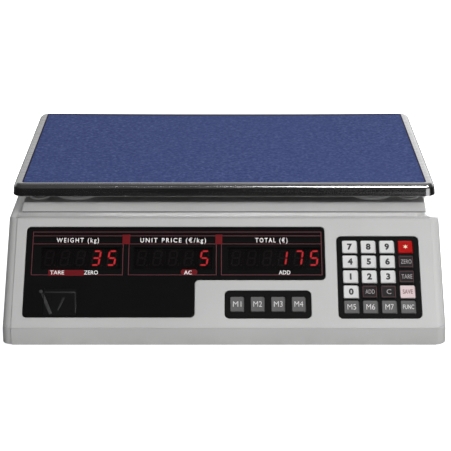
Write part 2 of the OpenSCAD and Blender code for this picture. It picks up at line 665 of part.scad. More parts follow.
module power_inlet() {
    x1 = hw - 0.1;
    sock = [inlet_y - 9.5, inlet_z];
    color([0.09, 0.09, 0.09]) difference() {
        union() {
            translate([x1 - 2, 0, 0]) rotate([90, 0, 90]) linear_extrude(2)
                polygon(rounded(rect([inlet_y - 29, inlet_z - 15.5, inlet_y + 29, inlet_z + 15.5], 3)));
            block([hw - 29, x1 - 1], [inlet_y - 23.8, inlet_y + 23.8], [inlet_z - 13.5, inlet_z + 13.5]);
            for (y = [-16, -9.5, -3, 10, 20]) block([hw - 36, hw - 28], [inlet_y + y - 2.4, inlet_y + y + 2.4],
                                                   [inlet_z - 0.4, inlet_z + 0.4]);
        }
        // Socket for the mains connector, leaving the three pins
        difference() {
            translate([x1 - 16, 0, 0]) rotate([90, 0, 90]) linear_extrude(20)
                polygon([[sock[0] - 12, sock[1] - 8], [sock[0] + 12, sock[1] - 8], [sock[0] + 12, sock[1] + 4],
                         [sock[0] + 8, sock[1] + 8], [sock[0] - 8, sock[1] + 8], [sock[0] - 12, sock[1] + 4]]);
            for (p = [[-7, -1], [0, 3], [7, -1]])
                block([x1 - 17, x1 - 2.5], [sock[0] + p[0] - 1, sock[0] + p[0] + 1], [sock[1] + p[1] - 2, sock[1] + p[1] + 2]);
        }
        // Well and trunnion holes of the rocker
        block([hw - 15.5, hw + 1], [rocker_p[1] - 6.5, rocker_p[1] + 6.5], [inlet_z - 9.9, inlet_z + 9.9]);
        translate([rocker_p[0], rocker_p[1], inlet_z]) rotate([90, 0, 0]) cylinder(h = 15.8, r = 1.56, center = true);
    }
}
module power_rocker() {
    color([0.60, 0.08, 0.07]) translate([rocker_p[0], rocker_p[1], inlet_z]) rotate([0, -9, 0]) {
        rotate([90, 0, 0]) linear_extrude(12.4, center = true)
            polygon([[-3.5, -5], [2, -8.6], [6, -8.4], [4.2, 0], [6, 8.4], [2, 8.6], [-3.5, 5]]);
        rotate([90, 0, 0]) cylinder(h = 15.4, r = 1.5, center = true);
    }
}
module bubble_level() {
    color([0.75, 0.85, 0.45]) rod(LEVEL[0], LEVEL[1], plinth_z - 8.1, plinth_z + 0.3, 7.5);
}

upper_housing();
lower_housing();
base_frame();
housing_screws();
frame_screws();
load_cell();
overload_stops();
pan_spider();
spider_screws();
pan_pads();
weighing_pan();
pan_film();
display_window();
front_digits();
display_board();
keypad_bezel();
memory_bezel();
key_boards();
rear_window();
rear_digits();
rear_board();
main_board();
transformer();
battery();
battery_cover();
power_inlet();
power_rocker();
bubble_level();
foot_pad_front_left();
foot_pad_front_right();
foot_pad_rear_left();
foot_pad_rear_right();
foot_stud_front_left();
foot_stud_front_right();
foot_stud_rear_left();
foot_stud_rear_right();
digit_key_0();
digit_key_1();
digit_key_2();
digit_key_3();
digit_key_4();
digit_key_5();
digit_key_6();
digit_key_7();
digit_key_8();
digit_key_9();
star_key();
zero_key();
tare_key();
add_key();
clear_key();
save_key();
func_key();
memory_key_1();
memory_key_2();
memory_key_3();
memory_key_4();
memory_key_5();
memory_key_6();
memory_key_7();
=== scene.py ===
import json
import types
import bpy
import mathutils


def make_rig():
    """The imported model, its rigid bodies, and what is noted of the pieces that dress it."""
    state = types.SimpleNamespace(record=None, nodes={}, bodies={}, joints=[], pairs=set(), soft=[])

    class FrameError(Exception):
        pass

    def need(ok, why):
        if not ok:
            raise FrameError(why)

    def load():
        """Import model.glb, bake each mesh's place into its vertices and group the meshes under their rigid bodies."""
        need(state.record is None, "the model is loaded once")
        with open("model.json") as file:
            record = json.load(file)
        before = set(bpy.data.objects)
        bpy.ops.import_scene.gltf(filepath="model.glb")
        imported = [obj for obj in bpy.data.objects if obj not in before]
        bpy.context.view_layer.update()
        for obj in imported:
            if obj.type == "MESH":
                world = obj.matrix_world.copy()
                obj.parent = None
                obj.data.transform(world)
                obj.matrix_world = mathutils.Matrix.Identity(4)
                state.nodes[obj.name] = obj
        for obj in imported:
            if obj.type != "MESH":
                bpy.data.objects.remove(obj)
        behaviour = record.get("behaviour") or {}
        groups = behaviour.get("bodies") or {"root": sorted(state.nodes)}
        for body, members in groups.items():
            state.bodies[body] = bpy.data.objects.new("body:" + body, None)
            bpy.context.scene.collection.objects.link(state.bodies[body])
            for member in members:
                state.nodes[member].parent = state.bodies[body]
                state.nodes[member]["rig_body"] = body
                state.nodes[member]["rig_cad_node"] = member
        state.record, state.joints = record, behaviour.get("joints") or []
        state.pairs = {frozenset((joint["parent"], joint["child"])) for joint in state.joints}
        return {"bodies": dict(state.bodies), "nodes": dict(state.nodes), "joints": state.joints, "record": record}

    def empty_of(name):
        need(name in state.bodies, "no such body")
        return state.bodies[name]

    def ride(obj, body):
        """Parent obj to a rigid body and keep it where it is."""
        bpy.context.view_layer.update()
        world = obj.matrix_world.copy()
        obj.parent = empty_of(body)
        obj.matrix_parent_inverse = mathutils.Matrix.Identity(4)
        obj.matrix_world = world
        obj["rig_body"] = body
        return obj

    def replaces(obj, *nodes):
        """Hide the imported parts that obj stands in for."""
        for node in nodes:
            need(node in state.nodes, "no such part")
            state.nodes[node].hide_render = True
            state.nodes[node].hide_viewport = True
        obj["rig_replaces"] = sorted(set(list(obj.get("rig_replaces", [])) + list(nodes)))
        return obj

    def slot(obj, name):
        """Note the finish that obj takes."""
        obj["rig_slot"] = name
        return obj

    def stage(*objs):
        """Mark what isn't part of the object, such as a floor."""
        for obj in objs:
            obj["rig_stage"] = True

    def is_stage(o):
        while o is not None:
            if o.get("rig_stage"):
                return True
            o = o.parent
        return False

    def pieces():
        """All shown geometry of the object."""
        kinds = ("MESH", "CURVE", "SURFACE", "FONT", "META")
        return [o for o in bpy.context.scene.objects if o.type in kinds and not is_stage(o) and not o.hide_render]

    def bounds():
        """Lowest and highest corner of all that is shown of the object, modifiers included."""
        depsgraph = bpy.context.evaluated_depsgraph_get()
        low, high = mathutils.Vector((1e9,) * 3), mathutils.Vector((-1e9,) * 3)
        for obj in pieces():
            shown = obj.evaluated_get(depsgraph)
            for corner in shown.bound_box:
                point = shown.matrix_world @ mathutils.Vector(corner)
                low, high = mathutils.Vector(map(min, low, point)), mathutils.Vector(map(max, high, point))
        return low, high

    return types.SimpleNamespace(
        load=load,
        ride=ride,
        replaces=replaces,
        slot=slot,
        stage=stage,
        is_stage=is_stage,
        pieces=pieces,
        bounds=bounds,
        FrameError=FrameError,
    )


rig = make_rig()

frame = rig.load()

import json
import math

import bmesh
import bpy
from mathutils import Matrix, Vector, kdtree

CAD_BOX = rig.bounds()
NODES = frame["nodes"]
MM = 0.001

# Frames of the sloped panel and of the back: local x across, y up the slope, z outward, in millimetres
SCALE = Matrix.Scale(MM, 4)
PANEL = SCALE @ Matrix.Translation((0, -162.5, 17.2)) @ Matrix.Rotation(math.radians(44), 4, "X")
REAR = (SCALE @ Matrix.Translation((0, 162.5, 17.2)) @ Matrix.Rotation(math.pi, 4, "Z")
        @ Matrix.Rotation(math.atan2(67.7, 22), 4, "X"))
ROW = SCALE.copy()


# ---------------------------------------------------------------- node graphs
class Graph:
    """A material's nodes, built a step at a time around one Principled shader."""

    def __init__(self, name):
        self.mat = bpy.data.materials.new(name)
        self.mat.use_nodes = True
        self.tree = self.mat.node_tree
        self.tree.nodes.clear()
        self.out = self.add("ShaderNodeOutputMaterial")
        self.bsdf = self.add("ShaderNodeBsdfPrincipled")
        self.link(self.bsdf.outputs[0], self.out.inputs[0])
        self.coords = self.add("ShaderNodeTexCoord").outputs["Object"]

    def add(self, kind, **settings):
        node = self.tree.nodes.new(kind)
        for key, value in settings.items():
            setattr(node, key, value)
        return node

    def link(self, a, b):
        self.tree.links.new(a, b)

    def feed(self, socket, value):
        if isinstance(value, bpy.types.NodeSocket):
            self.link(value, socket)
        elif socket.type == "RGBA" and len(value) == 3:
            socket.default_value = (*value, 1)
        else:
            socket.default_value = value

    def set(self, **values):
        for key, value in values.items():
            self.feed(self.bsdf.inputs[key.replace("_", " ")], value)
        return self

    def stretched(self, x, y, z):
        node = self.add("ShaderNodeMapping")
        self.link(self.coords, node.inputs["Vector"])
        node.inputs["Scale"].default_value = (x, y, z)
        return node.outputs[0]

    def noise(self, scale, detail=2.0, rough=0.5, distort=0.0, at=None):
        node = self.add("ShaderNodeTexNoise")
        self.link(at or self.coords, node.inputs["Vector"])
        node.inputs["Scale"].default_value = scale
        node.inputs["Detail"].default_value = detail
        node.inputs["Roughness"].default_value = rough
        node.inputs["Distortion"].default_value = distort
        return node.outputs[0]

    def cells(self, scale, feature="F1", randomness=1.0, at=None):
        node = self.add("ShaderNodeTexVoronoi", feature=feature)
        self.link(at or self.coords, node.inputs["Vector"])
        node.inputs["Scale"].default_value = scale
        node.inputs["Randomness"].default_value = randomness
        return node.outputs[0]

    def span(self, value, lo, hi, to_lo=0.0, to_hi=1.0, smooth=False):
        node = self.add("ShaderNodeMapRange", interpolation_type="SMOOTHSTEP" if smooth else "LINEAR")
        self.feed(node.inputs[0], value)
        for i, v in enumerate((lo, hi, to_lo, to_hi), 1):
            node.inputs[i].default_value = v
        return node.outputs[0]

    def mix(self, fac, a, b, blend="MIX"):
        node = self.add("ShaderNodeMix", data_type="RGBA", blend_type=blend)
        self.feed(node.inputs[0], fac)
        self.feed(node.inputs[6], a)
        self.feed(node.inputs[7], b)
        return node.outputs[2]

    def maths(self, operation, a, b=0.0):
        node = self.add("ShaderNodeMath", operation=operation)
        self.feed(node.inputs[0], a)
        self.feed(node.inputs[1], b)
        return node.outputs[0]

    def axis(self, name):
        node = self.add("ShaderNodeSeparateXYZ")
        self.link(self.coords, node.inputs[0])
        return node.outputs[name]

    def bump(self, height, strength, depth, base=None):
        node = self.add("ShaderNodeBump")
        node.inputs["Strength"].default_value = strength
        node.inputs["Distance"].default_value = depth
        self.link(height, node.inputs["Height"])
        if base is not None:
            self.link(base, node.inputs["Normal"])
        return node.outputs[0]


def times(colour, k):
    return tuple(min(1.0, c * k) for c in colour)


def moulded(name, colour, rough=0.45, vary=0.05, grain=1900, relief=0.10, spec=0.5, cloud=16, coat=0.0):
    """A moulded plastic: slow colour drift, fine tool texture, uneven gloss."""
    g = Graph(name)
    slow = g.noise(cloud, 3, 0.55)
    fine = g.noise(grain, 2, 0.6)
    base = g.mix(g.span(slow, 0.3, 0.7), times(colour, 1 - vary), times(colour, 1 + vary))
    g.set(Base_Color=g.mix(g.span(fine, 0.25, 0.75, 0, 0.16), base, times(colour, 0.82)),
          Roughness=g.maths("ADD", g.span(slow, 0.2, 0.8, rough - 0.05, rough + 0.05), g.span(fine, 0, 1, -0.04, 0.04)),
          Normal=g.bump(fine, relief, 0.00008))
    g.set(Specular_IOR_Level=spec)
    if coat:
        g.set(Coat_Weight=coat, Coat_Roughness=0.12)
    return g.mat


def metal(name, colour, rough=0.35, streak=(10, 900, 900), vary=0.08, relief=0.06, dull=0.0):
    """A brushed or machined metal: streaks along one axis in its colour, gloss and relief."""
    g = Graph(name)
    lines = g.noise(1.0, 4, 0.65, at=g.stretched(*streak))
    slow = g.noise(9, 3, 0.5)
    base = g.mix(g.span(lines, 0.3, 0.7), times(colour, 1 - vary), times(colour, 1 + vary))
    base = g.mix(g.span(slow, 0.45, 0.8, 0, 0.25 + dull), base, times(colour, 0.72))
    g.set(Base_Color=base, Metallic=1.0,
          Roughness=g.maths("ADD", g.span(lines, 0.3, 0.7, rough - 0.07, rough + 0.09), g.span(slow, 0.3, 0.8, 0, 0.06)),
          Normal=g.bump(lines, relief, 0.00006))
    return g.mat


def cast(name, colour, rough=0.55):
    g = Graph(name)
    skin = g.noise(420, 4, 0.65)
    pits = g.cells(260)
    slow = g.noise(22, 3)
    base = g.mix(g.span(slow, 0.3, 0.7), times(colour, 0.82), times(colour, 1.1))
    g.set(Base_Color=g.mix(g.span(pits, 0.05, 0.25, 0.35, 0), base, times(colour, 0.5)), Metallic=0.9,
          Roughness=g.span(skin, 0.2, 0.8, rough - 0.1, rough + 0.12),
          Normal=g.bump(skin, 0.35, 0.0003))
    return g.mat


def rubber(name, colour, rough=0.8):
    g = Graph(name)
    fine = g.noise(1500, 3, 0.7)
    slow = g.noise(40, 3)
    dust = g.span(g.noise(300, 5, 0.8), 0.58, 0.75)
    base = g.mix(g.span(slow, 0.3, 0.7), times(colour, 0.8), times(colour, 1.25))
    g.set(Base_Color=g.mix(g.maths("MULTIPLY", dust, 0.25), base, (0.12, 0.115, 0.11)),
          Roughness=g.span(fine, 0.2, 0.8, rough - 0.08, rough + 0.1),
          Normal=g.bump(fine, 0.3, 0.00015))
    return g.mat


def ink(name, colour, rough=0.45, spec=0.4):
    """Screen-printed ink: slightly uneven cover and a soft gloss."""
    g = Graph(name)
    fine = g.noise(2600, 3, 0.7)
    slow = g.noise(120, 2)
    base = g.mix(g.span(fine, 0.35, 0.75), colour, times(colour, 0.78))
    g.set(Base_Color=g.mix(g.span(slow, 0.3, 0.7, 0, 0.3), base, times(colour, 0.9)),
          Roughness=g.span(fine, 0.2, 0.8, rough - 0.08, rough + 0.08),
          Normal=g.bump(fine, 0.08, 0.00003))
    g.set(Specular_IOR_Level=spec)
    return g.mat


def housing_finish(name="housing_abs", colour=(0.455, 0.455, 0.452)):
    g = Graph(name)
    slow = g.noise(11, 3, 0.5)
    fine = g.noise(1700, 3, 0.62)
    specks = g.cells(620)
    base = g.mix(g.span(slow, 0.3, 0.7), times(colour, 0.955), times(colour, 1.035))
    base = g.mix(g.span(fine, 0.3, 0.75, 0, 0.2), base, times(colour, 0.86))
    base = g.mix(g.span(specks, 0.02, 0.10, 0.25, 0), base, times(colour, 0.80))
    # Darker in uneven patches towards the bottom of the skirt
    low = g.maths("MULTIPLY", g.span(g.axis("Z"), 0.004, 0.013, 0.30, 0, True), g.span(g.noise(60, 4, 0.7), 0.35, 0.7))
    base = g.mix(low, base, (0.26, 0.25, 0.235))
    g.set(Base_Color=base,
          Roughness=g.maths("ADD", g.span(slow, 0.2, 0.8, 0.40, 0.50), g.span(fine, 0, 1, -0.05, 0.05)),
          Normal=g.bump(fine, 0.16, 0.00010))
    g.set(Specular_IOR_Level=0.5)
    return g.mat


def film_finish():
    """Matt blue protective film: grainy print, faint rubbed streaks, soft cockles where it isn't stuck down."""
    g = Graph("film_blue")
    grain = g.noise(1150, 3, 0.75)
    coarse = g.noise(420, 3, 0.6)
    slow = g.noise(7, 3, 0.5)
    rub = g.span(g.noise(1.0, 3, 0.6, at=g.stretched(14, 420, 14)), 0.60, 0.78)
    cockle = g.noise(24, 2, 0.4)
    dark, mid, pale = (0.023, 0.035, 0.116), (0.041, 0.060, 0.171), (0.094, 0.124, 0.262)
    base = g.mix(g.span(grain, 0.32, 0.68), dark, mid)
    base = g.mix(g.span(coarse, 0.44, 0.66, 0, 0.72), base, pale)
    base = g.mix(g.span(g.noise(250, 3, 0.6), 0.40, 0.58, 0.50, 0), base, dark)
    base = g.mix(g.maths("MULTIPLY", rub, 0.16), base, (0.13, 0.15, 0.28))
    base = g.mix(g.span(slow, 0.35, 0.7, 0, 0.30), base, mid)
    normal = g.bump(cockle, 0.25, 0.0006)
    g.set(Base_Color=base, Roughness=g.span(grain, 0.2, 0.8, 0.62, 0.80), Normal=g.bump(grain, 0.30, 0.00012, normal))
    g.set(Specular_IOR_Level=0.05)
    return g.mat


def lens_black_finish():
    g = Graph("lens_black")
    smudge = g.noise(26, 4, 0.6, 0.8)
    fine = g.noise(1400, 2, 0.6)
    dust = g.span(g.noise(900, 4, 0.8), 0.70, 0.82)
    base = g.mix(g.span(fine, 0.3, 0.7), (0.0036, 0.0035, 0.0036), (0.0056, 0.0054, 0.0054))
    g.set(Base_Color=g.mix(g.maths("MULTIPLY", dust, 0.04), base, (0.20, 0.20, 0.20)),
          Roughness=g.span(smudge, 0.35, 0.75, 0.12, 0.24),
          Normal=g.bump(fine, 0.05, 0.00004))
    g.set(Specular_IOR_Level=0.30)
    return g.mat


def lens_smoke_finish():
    """The clear parts of a smoked lens: gloss by angle over a dark tint."""
    g = Graph("lens_smoke")
    smudge = g.noise(26, 4, 0.6, 0.8)
    see = g.add("ShaderNodeBsdfTransparent")
    g.link(g.mix(g.span(g.noise(40, 2), 0.3, 0.7), (0.54, 0.52, 0.52), (0.58, 0.56, 0.56)), see.inputs["Color"])
    g.set(Base_Color=g.mix(g.span(smudge, 0.3, 0.7), (0.002, 0.002, 0.002), (0.004, 0.004, 0.004)),
          Roughness=g.span(smudge, 0.35, 0.75, 0.14, 0.26))
    g.set(Specular_IOR_Level=0.30)
    body = g.add("ShaderNodeMixShader")
    body.inputs[0].default_value = 0.10
    g.link(see.outputs[0], body.inputs[1])
    g.link(g.bsdf.outputs[0], body.inputs[2])
    shine = g.add("ShaderNodeBsdfGlossy")
    g.link(g.span(smudge, 0.35, 0.75, 0.14, 0.26), shine.inputs["Roughness"])
    angle = g.add("ShaderNodeFresnel")
    angle.inputs["IOR"].default_value = 1.36
    join = g.add("ShaderNodeMixShader")
    g.link(angle.outputs[0], join.inputs[0])
    g.link(body.outputs[0], join.inputs[1])
    g.link(shine.outputs[0], join.inputs[2])
    g.link(join.outputs[0], g.out.inputs[0])
    return g.mat


def glow(name, colour, power, dim=0.75):
    """A lit LED segment: glowing, a little uneven."""
    g = Graph(name)
    uneven = g.noise(900, 2, 0.5)
    g.set(Base_Color=g.mix(uneven, times(colour, 0.20), times(colour, 0.35)), Roughness=g.span(uneven, 0, 1, 0.35, 0.5),
          Emission_Color=g.mix(g.span(uneven, 0.3, 0.7), times(colour, dim), colour))
    g.set(Emission_Strength=power)
    return g.mat


def board_finish():
    """Green solder mask with copper tracks under it and plated holes."""
    g = Graph("circuit_board")
    tracks = g.add("ShaderNodeTexBrick")
    g.link(g.coords, tracks.inputs["Vector"])
    tracks.inputs["Scale"].default_value = 220
    tracks.inputs["Mortar Size"].default_value = 0.035
    tracks.inputs["Color1"].default_value = tracks.inputs["Color2"].default_value = (0, 0, 0, 1)
    tracks.inputs["Mortar"].default_value = (1, 1, 1, 1)
    holes = g.cells(330, randomness=0.35)
    slow = g.noise(60, 3)
    base = g.mix(g.span(slow, 0.3, 0.7), (0.010, 0.085, 0.030), (0.016, 0.125, 0.045))
    base = g.mix(tracks.outputs[0], base, (0.030, 0.20, 0.075))
    base = g.mix(g.span(holes, 0.10, 0.13, 1, 0), base, (0.55, 0.47, 0.26))
    g.set(Base_Color=base, Roughness=g.span(slow, 0.2, 0.8, 0.26, 0.40), Normal=g.bump(tracks.outputs[0], 0.15, 0.00008))
    return g.mat


def laminated_finish():
    g = Graph("transformer_iron")
    wave = g.add("ShaderNodeTexWave", bands_direction="Y")
    g.link(g.coords, wave.inputs["Vector"])
    wave.inputs["Scale"].default_value = 620
    wave.inputs["Distortion"].default_value = 0.3
    rust = g.span(g.noise(160, 4, 0.7), 0.55, 0.75)
    base = g.mix(wave.outputs[1], (0.030, 0.030, 0.033), (0.12, 0.12, 0.125))
    g.set(Base_Color=g.mix(g.maths("MULTIPLY", rust, 0.4), base, (0.16, 0.075, 0.035)), Metallic=0.6,
          Roughness=g.span(wave.outputs[1], 0, 1, 0.55, 0.38), Normal=g.bump(wave.outputs[1], 0.4, 0.0002))
    return g.mat


def tape_finish():
    g = Graph("coil_tape")
    wave = g.add("ShaderNodeTexWave", bands_direction="Z")
    g.link(g.coords, wave.inputs["Vector"])
    wave.inputs["Scale"].default_value = 90
    wave.inputs["Distortion"].default_value = 1.2
    slow = g.noise(50, 3)
    base = g.mix(g.span(slow, 0.3, 0.7), (0.62, 0.42, 0.05), (0.74, 0.53, 0.09))
    g.set(Base_Color=g.mix(g.span(wave.outputs[1], 0.85, 1, 0, 0.5), base, (0.42, 0.27, 0.03)), Roughness=g.span(slow, 0, 1, 0.25, 0.4),
          Normal=g.bump(wave.outputs[1], 0.3, 0.0002))
    return g.mat


def fluid_finish():
    g = Graph("level_fluid")
    slow = g.noise(180, 2)
    g.set(Base_Color=g.mix(slow, (0.36, 0.60, 0.035), (0.50, 0.74, 0.07)), Roughness=g.span(slow, 0, 1, 0.05, 0.12))
    g.set(Coat_Weight=0.8, Coat_Roughness=0.03, Specular_IOR_Level=0.5)
    return g.mat


def floor_finish():
    g = Graph("studio_floor")
    slow = g.noise(1.2, 2)
    g.set(Base_Color=g.mix(g.span(slow, 0.3, 0.7), (0.79, 0.79, 0.79), (0.81, 0.81, 0.81)), Roughness=g.span(slow, 0, 1, 0.75, 0.85),
          Emission_Color=g.mix(slow, (0.98, 0.98, 0.98), (1, 1, 1)))
    g.set(Specular_IOR_Level=0.1, Emission_Strength=0.93)
    return g.mat


MAT = {
    "housing": housing_finish(),
    # Painted shade: a darker copy of the housing colour for the ledge's front lip
    "housing_lip_painted_shade": housing_finish("housing_lip_painted_shade", (0.365, 0.365, 0.362)),
    # Painted shade: a darker copy of the housing colour for the plinth's top face under the pan
    "housing_painted_shade_deck": housing_finish("housing_painted_shade_deck", (0.26, 0.26, 0.258)),
    "stainless": metal("stainless", (0.66, 0.66, 0.665), 0.24, (7, 1300, 1300), 0.04, 0.03),
    "rim": metal("stainless_rim", (0.66, 0.66, 0.665), 0.145, (9, 9, 1500), 0.03, 0.004),
    "film": film_finish(),
    # Painted shade along the film's edges at its sides and rear
    "film_edge_shade": moulded("film_edge_shade", (0.0050, 0.0045, 0.026), 0.6, 0.15, 1300, 0.12, 0.1),
    "lens": lens_black_finish(),
    "smoke": lens_smoke_finish(),
    "led_face": moulded("led_module", (0.030, 0.029, 0.029), 0.55, 0.15, 1400, 0.12, 0.3),
    "ghost": moulded("segment_unlit", (0.085, 0.078, 0.078), 0.5, 0.10, 900, 0.10, 0.3),
    "halo": glow("segment_glow", (1.0, 0.014, 0.022), 1.12, 0.62),
    "core": glow("segment_core", (1.0, 0.070, 0.088), 2.15, 0.85),
    "line": ink("print_line", (0.100, 0.027, 0.034), 0.45, 0.2),
    "red_block": ink("print_red", (0.135, 0.0075, 0.0105), 0.45, 0.12),
    # Painted highlight: lighter lines along the lens pocket's top and right edges
    "pocket_highlight": moulded("lens_pocket_highlight", (0.018, 0.018, 0.0185), 0.4, 0.15, 1200, 0.10, 0.3),
    "white_ink": ink("print_white", (0.93, 0.91, 0.91)),
    "dark_ink": ink("print_dark", (0.028, 0.028, 0.030)),
    "grey_ink": ink("print_grey", (0.095, 0.085, 0.090)),
    "rose_ink": ink("print_rose", (0.115, 0.050, 0.058), 0.45, 0.2),
    "mist_ink": ink("print_mist", (0.36, 0.33, 0.34)),
    "soft_ink": ink("print_soft", (0.72, 0.71, 0.71)),
    "brown_ink": ink("print_brown", (0.24, 0.15, 0.15)),
    "pale_ink": ink("print_pale", (0.90, 0.74, 0.52)),
    "pocket": moulded("lens_pocket", (0.0045, 0.0045, 0.0045), 0.3, 0.15, 1500, 0.10, 0.3),
    # Painted highlight: the V-shaped gleam in the lens pocket, as a lighter grey
    "pocket_gleam": moulded("lens_pocket_gleam", (0.034, 0.034, 0.035), 0.4, 0.15, 1200, 0.10, 0.5),
    # Painted shade: the dark strip in the groove at the plinth's foot
    "groove_shade": moulded("plinth_groove_shade", (0.135, 0.134, 0.133), 0.6, 0.08, 1300, 0.12, 0.2),
    "bezel": moulded("bezel_black", (0.0055, 0.0055, 0.0055), 0.42, 0.12, 1500, 0.12, 0.05),
    "key_white": moulded("key_white", (0.570, 0.570, 0.570), 0.42, 0.025, 1300, 0.14, 0.4),
    "key_black": moulded("key_black", (0.0080, 0.0068, 0.0070), 0.44, 0.15, 1300, 0.14, 0.25),
    "key_grey": moulded("key_grey", (0.099, 0.098, 0.098), 0.48, 0.06, 1300, 0.14, 0.2),
    "key_red": moulded("key_red", (0.345, 0.0030, 0.0030), 0.46, 0.05, 1300, 0.12, 0.1),
    "key_pink": moulded("key_pink", (0.60, 0.482, 0.494), 0.45, 0.025, 1300, 0.12, 0.35),
    "cast": cast("cast_aluminium", (0.46, 0.47, 0.48)),
    "cell": metal("cell_aluminium", (0.66, 0.67, 0.68), 0.28, (700, 12, 700), 0.06, 0.08),
    "zinc": metal("zinc_steel", (0.58, 0.58, 0.56), 0.32, (400, 400, 60), 0.10, 0.06, 0.1),
    "board": board_finish(),
    "chip": moulded("component_black", (0.018, 0.018, 0.019), 0.5, 0.2, 900, 0.1),
    "pad_rubber": rubber("pad_rubber", (0.018, 0.018, 0.019)),
    "foot_rubber": rubber("foot_rubber", (0.014, 0.014, 0.014), 0.78),
    "foot_black": moulded("foot_black", (0.020, 0.020, 0.021), 0.42, 0.15, 1100, 0.14),
    "iron": laminated_finish(),
    "tape": tape_finish(),
    "battery": moulded("battery_case", (0.030, 0.032, 0.038), 0.38, 0.10, 700, 0.15),
    "inlet": moulded("inlet_black", (0.013, 0.013, 0.013), 0.36, 0.12, 1200, 0.12),
    "pin": metal("inlet_pins", (0.74, 0.66, 0.48), 0.22, (20, 900, 900), 0.06, 0.04),
    "rocker": moulded("rocker_red", (0.50, 0.010, 0.010), 0.20, 0.05, 600, 0.03, 0.5, 16, 0.6),
    "fluid": fluid_finish(),
    "floor": floor_finish(),
}


# ---------------------------------------------------------------- geometry
def rounded(points, n=6):
    """Points (x, y, r) to an outline with each corner rounded to its own r, n steps a corner."""
    out, k = [], len(points)
    for i in range(k):
        a, b, c = (Vector(points[j % k][:2]) for j in (i - 1, i, i + 1))
        r = points[i][2]
        u, v = (a - b).normalized(), (c - b).normalized()
        half = math.acos(max(-1.0, min(1.0, u.dot(v)))) / 2
        m = b + (u + v).normalized() * (r / math.sin(half))
        p, q = b + u * (r / math.tan(half)), b + v * (r / math.tan(half))
        a0, a1 = math.atan2(p.y - m.y, p.x - m.x), math.atan2(q.y - m.y, q.x - m.x)
        da = (a1 - a0 + math.pi) % (2 * math.pi) - math.pi
        out += [(m.x + r * math.cos(a0 + da * j / n), m.y + r * math.sin(a0 + da * j / n)) for j in range(n + 1)]
    return out


def inset(points, d):
    """The outline's corners moved in by d, with radii that keep the curves parallel. The outline runs anticlockwise."""
    out, k = [], len(points)
    for i in range(k):
        a, b, c = (Vector(points[j % k][:2]) for j in (i - 1, i, i + 1))
        e, f = (b - a).normalized(), (c - b).normalized()
        n1, n2 = Vector((-e.y, e.x)), Vector((-f.y, f.x))
        p = b + (n1 + n2) * (d / (1 + n1.dot(n2)))
        turn = e.x * f.y - e.y * f.x
        out.append((p.x, p.y, max(0.02, points[i][2] - d if turn > 0 else points[i][2] + d)))
    return out


def rect(x0, y0, x1, y1, r=0.5):
    return [(x0, y0, r), (x1, y0, r), (x1, y1, r), (x0, y1, r)]


def about(x, y, w, h, r=0.5):
    return rect(x - w / 2, y - h / 2, x + w / 2, y + h / 2, r)


def circle(x, y, r, n=48):
    return [(x + r * math.cos(2 * math.pi * i / n), y + r * math.sin(2 * math.pi * i / n)) for i in range(n)]


def ring(bm, outline, z, place):
    return [bm.verts.new(place @ Vector((x, y, z))) for x, y in outline]


def bridge(bm, a, b, index=0):
    n = len(a)
    for i in range(n):
        bm.faces.new((a[i], a[(i + 1) % n], b[(i + 1) % n], b[i])).material_index = index


def cap(bm, loop, up=True, index=0):
    face = bm.faces.new(loop if up else list(reversed(loop)))
    face.material_index = index
    return face


def stack(bm, layers, place, index=0, bottom=True, top=True, top_index=None):
    """A closed solid through outlines at rising heights: layers is [(outline, z), ...]."""
    loops = [ring(bm, o, z, place) for o, z in layers]
    for a, b in zip(loops, loops[1:]):
        bridge(bm, a, b, index)
    if bottom:
        cap(bm, loops[0], False, index)
    if top:
        cap(bm, loops[-1], True, index if top_index is None else top_index)
    return loops


def box(bm, x0, y0, x1, y1, z0, z1, place, index=0):
    stack(bm, [([(x0, y0), (x1, y0), (x1, y1), (x0, y1)], z0), ([(x0, y0), (x1, y0), (x1, y1), (x0, y1)], z1)], place, index)


def fill(bm, loops, index=0, flip=False):
    """Flat faces between an outer loop of vertices and the loops of its holes."""
    edges = []
    for loop in loops:
        for a, b in zip(loop, loop[1:] + loop[:1]):
            edges.append(bm.edges.get((a, b)) or bm.edges.new((a, b)))
    made = bmesh.ops.triangle_fill(bm, use_beauty=True, use_dissolve=False, edges=edges)
    faces = [f for f in made["geom"] if isinstance(f, bmesh.types.BMFace)]
    for f in faces:
        f.material_index = index
    return faces


def frame_rects(x0, y0, x1, y1, w):
    """The four bars of a frame, without overlap."""
    return [(x0, y0, x1, y0 + w), (x0, y1 - w, x1, y1), (x0, y0 + w, x0 + w, y1 - w), (x1 - w, y0 + w, x1, y1 - w)]


def finish_mesh(me, smooth):
    me.shade_smooth()
    me.set_sharp_from_angle(angle=math.radians(smooth))


def put(name, me, materials, body, slot=None, replaces=()):
    ob = bpy.data.objects.new(name, me)
    bpy.context.scene.collection.objects.link(ob)
    for m in materials:
        me.materials.append(m)
    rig.ride(ob, body)
    if slot:
        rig.slot(ob, slot)
    if replaces:
        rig.replaces(ob, *replaces)
    return ob


def piece(name, bm, materials, body, slot=None, replaces=(), smooth=34, fix=True, flat_faces=True):
    """Turns a bmesh into a piece, with normals that keep its large faces flat."""
    if fix:
        bmesh.ops.recalc_face_normals(bm, faces=bm.faces[:])
    me = bpy.data.meshes.new(name)
    bm.to_mesh(me)
    bm.free()
    finish_mesh(me, smooth)
    ob = put(name, me, materials, body, slot, replaces)
    if flat_faces:
        weighted(ob)
    return ob


def weighted(ob):
    """Applies a weighted normal, so that bevels blend and flat faces stay flat."""
    mod = ob.modifiers.new("weighted", "WEIGHTED_NORMAL")
    mod.keep_sharp = True
    mod.weight = 60
    applied(ob)


def applied(ob):
    """Replaces the object's mesh with what its modifiers make of it."""
    graph = bpy.context.evaluated_depsgraph_get()
    made = bpy.data.meshes.new_from_object(ob.evaluated_get(graph), preserve_all_data_layers=True, depsgraph=graph)
    ob.modifiers.clear()
    old = ob.data
    ob.data = made
    made.name = ob.name
    bpy.data.meshes.remove(old)


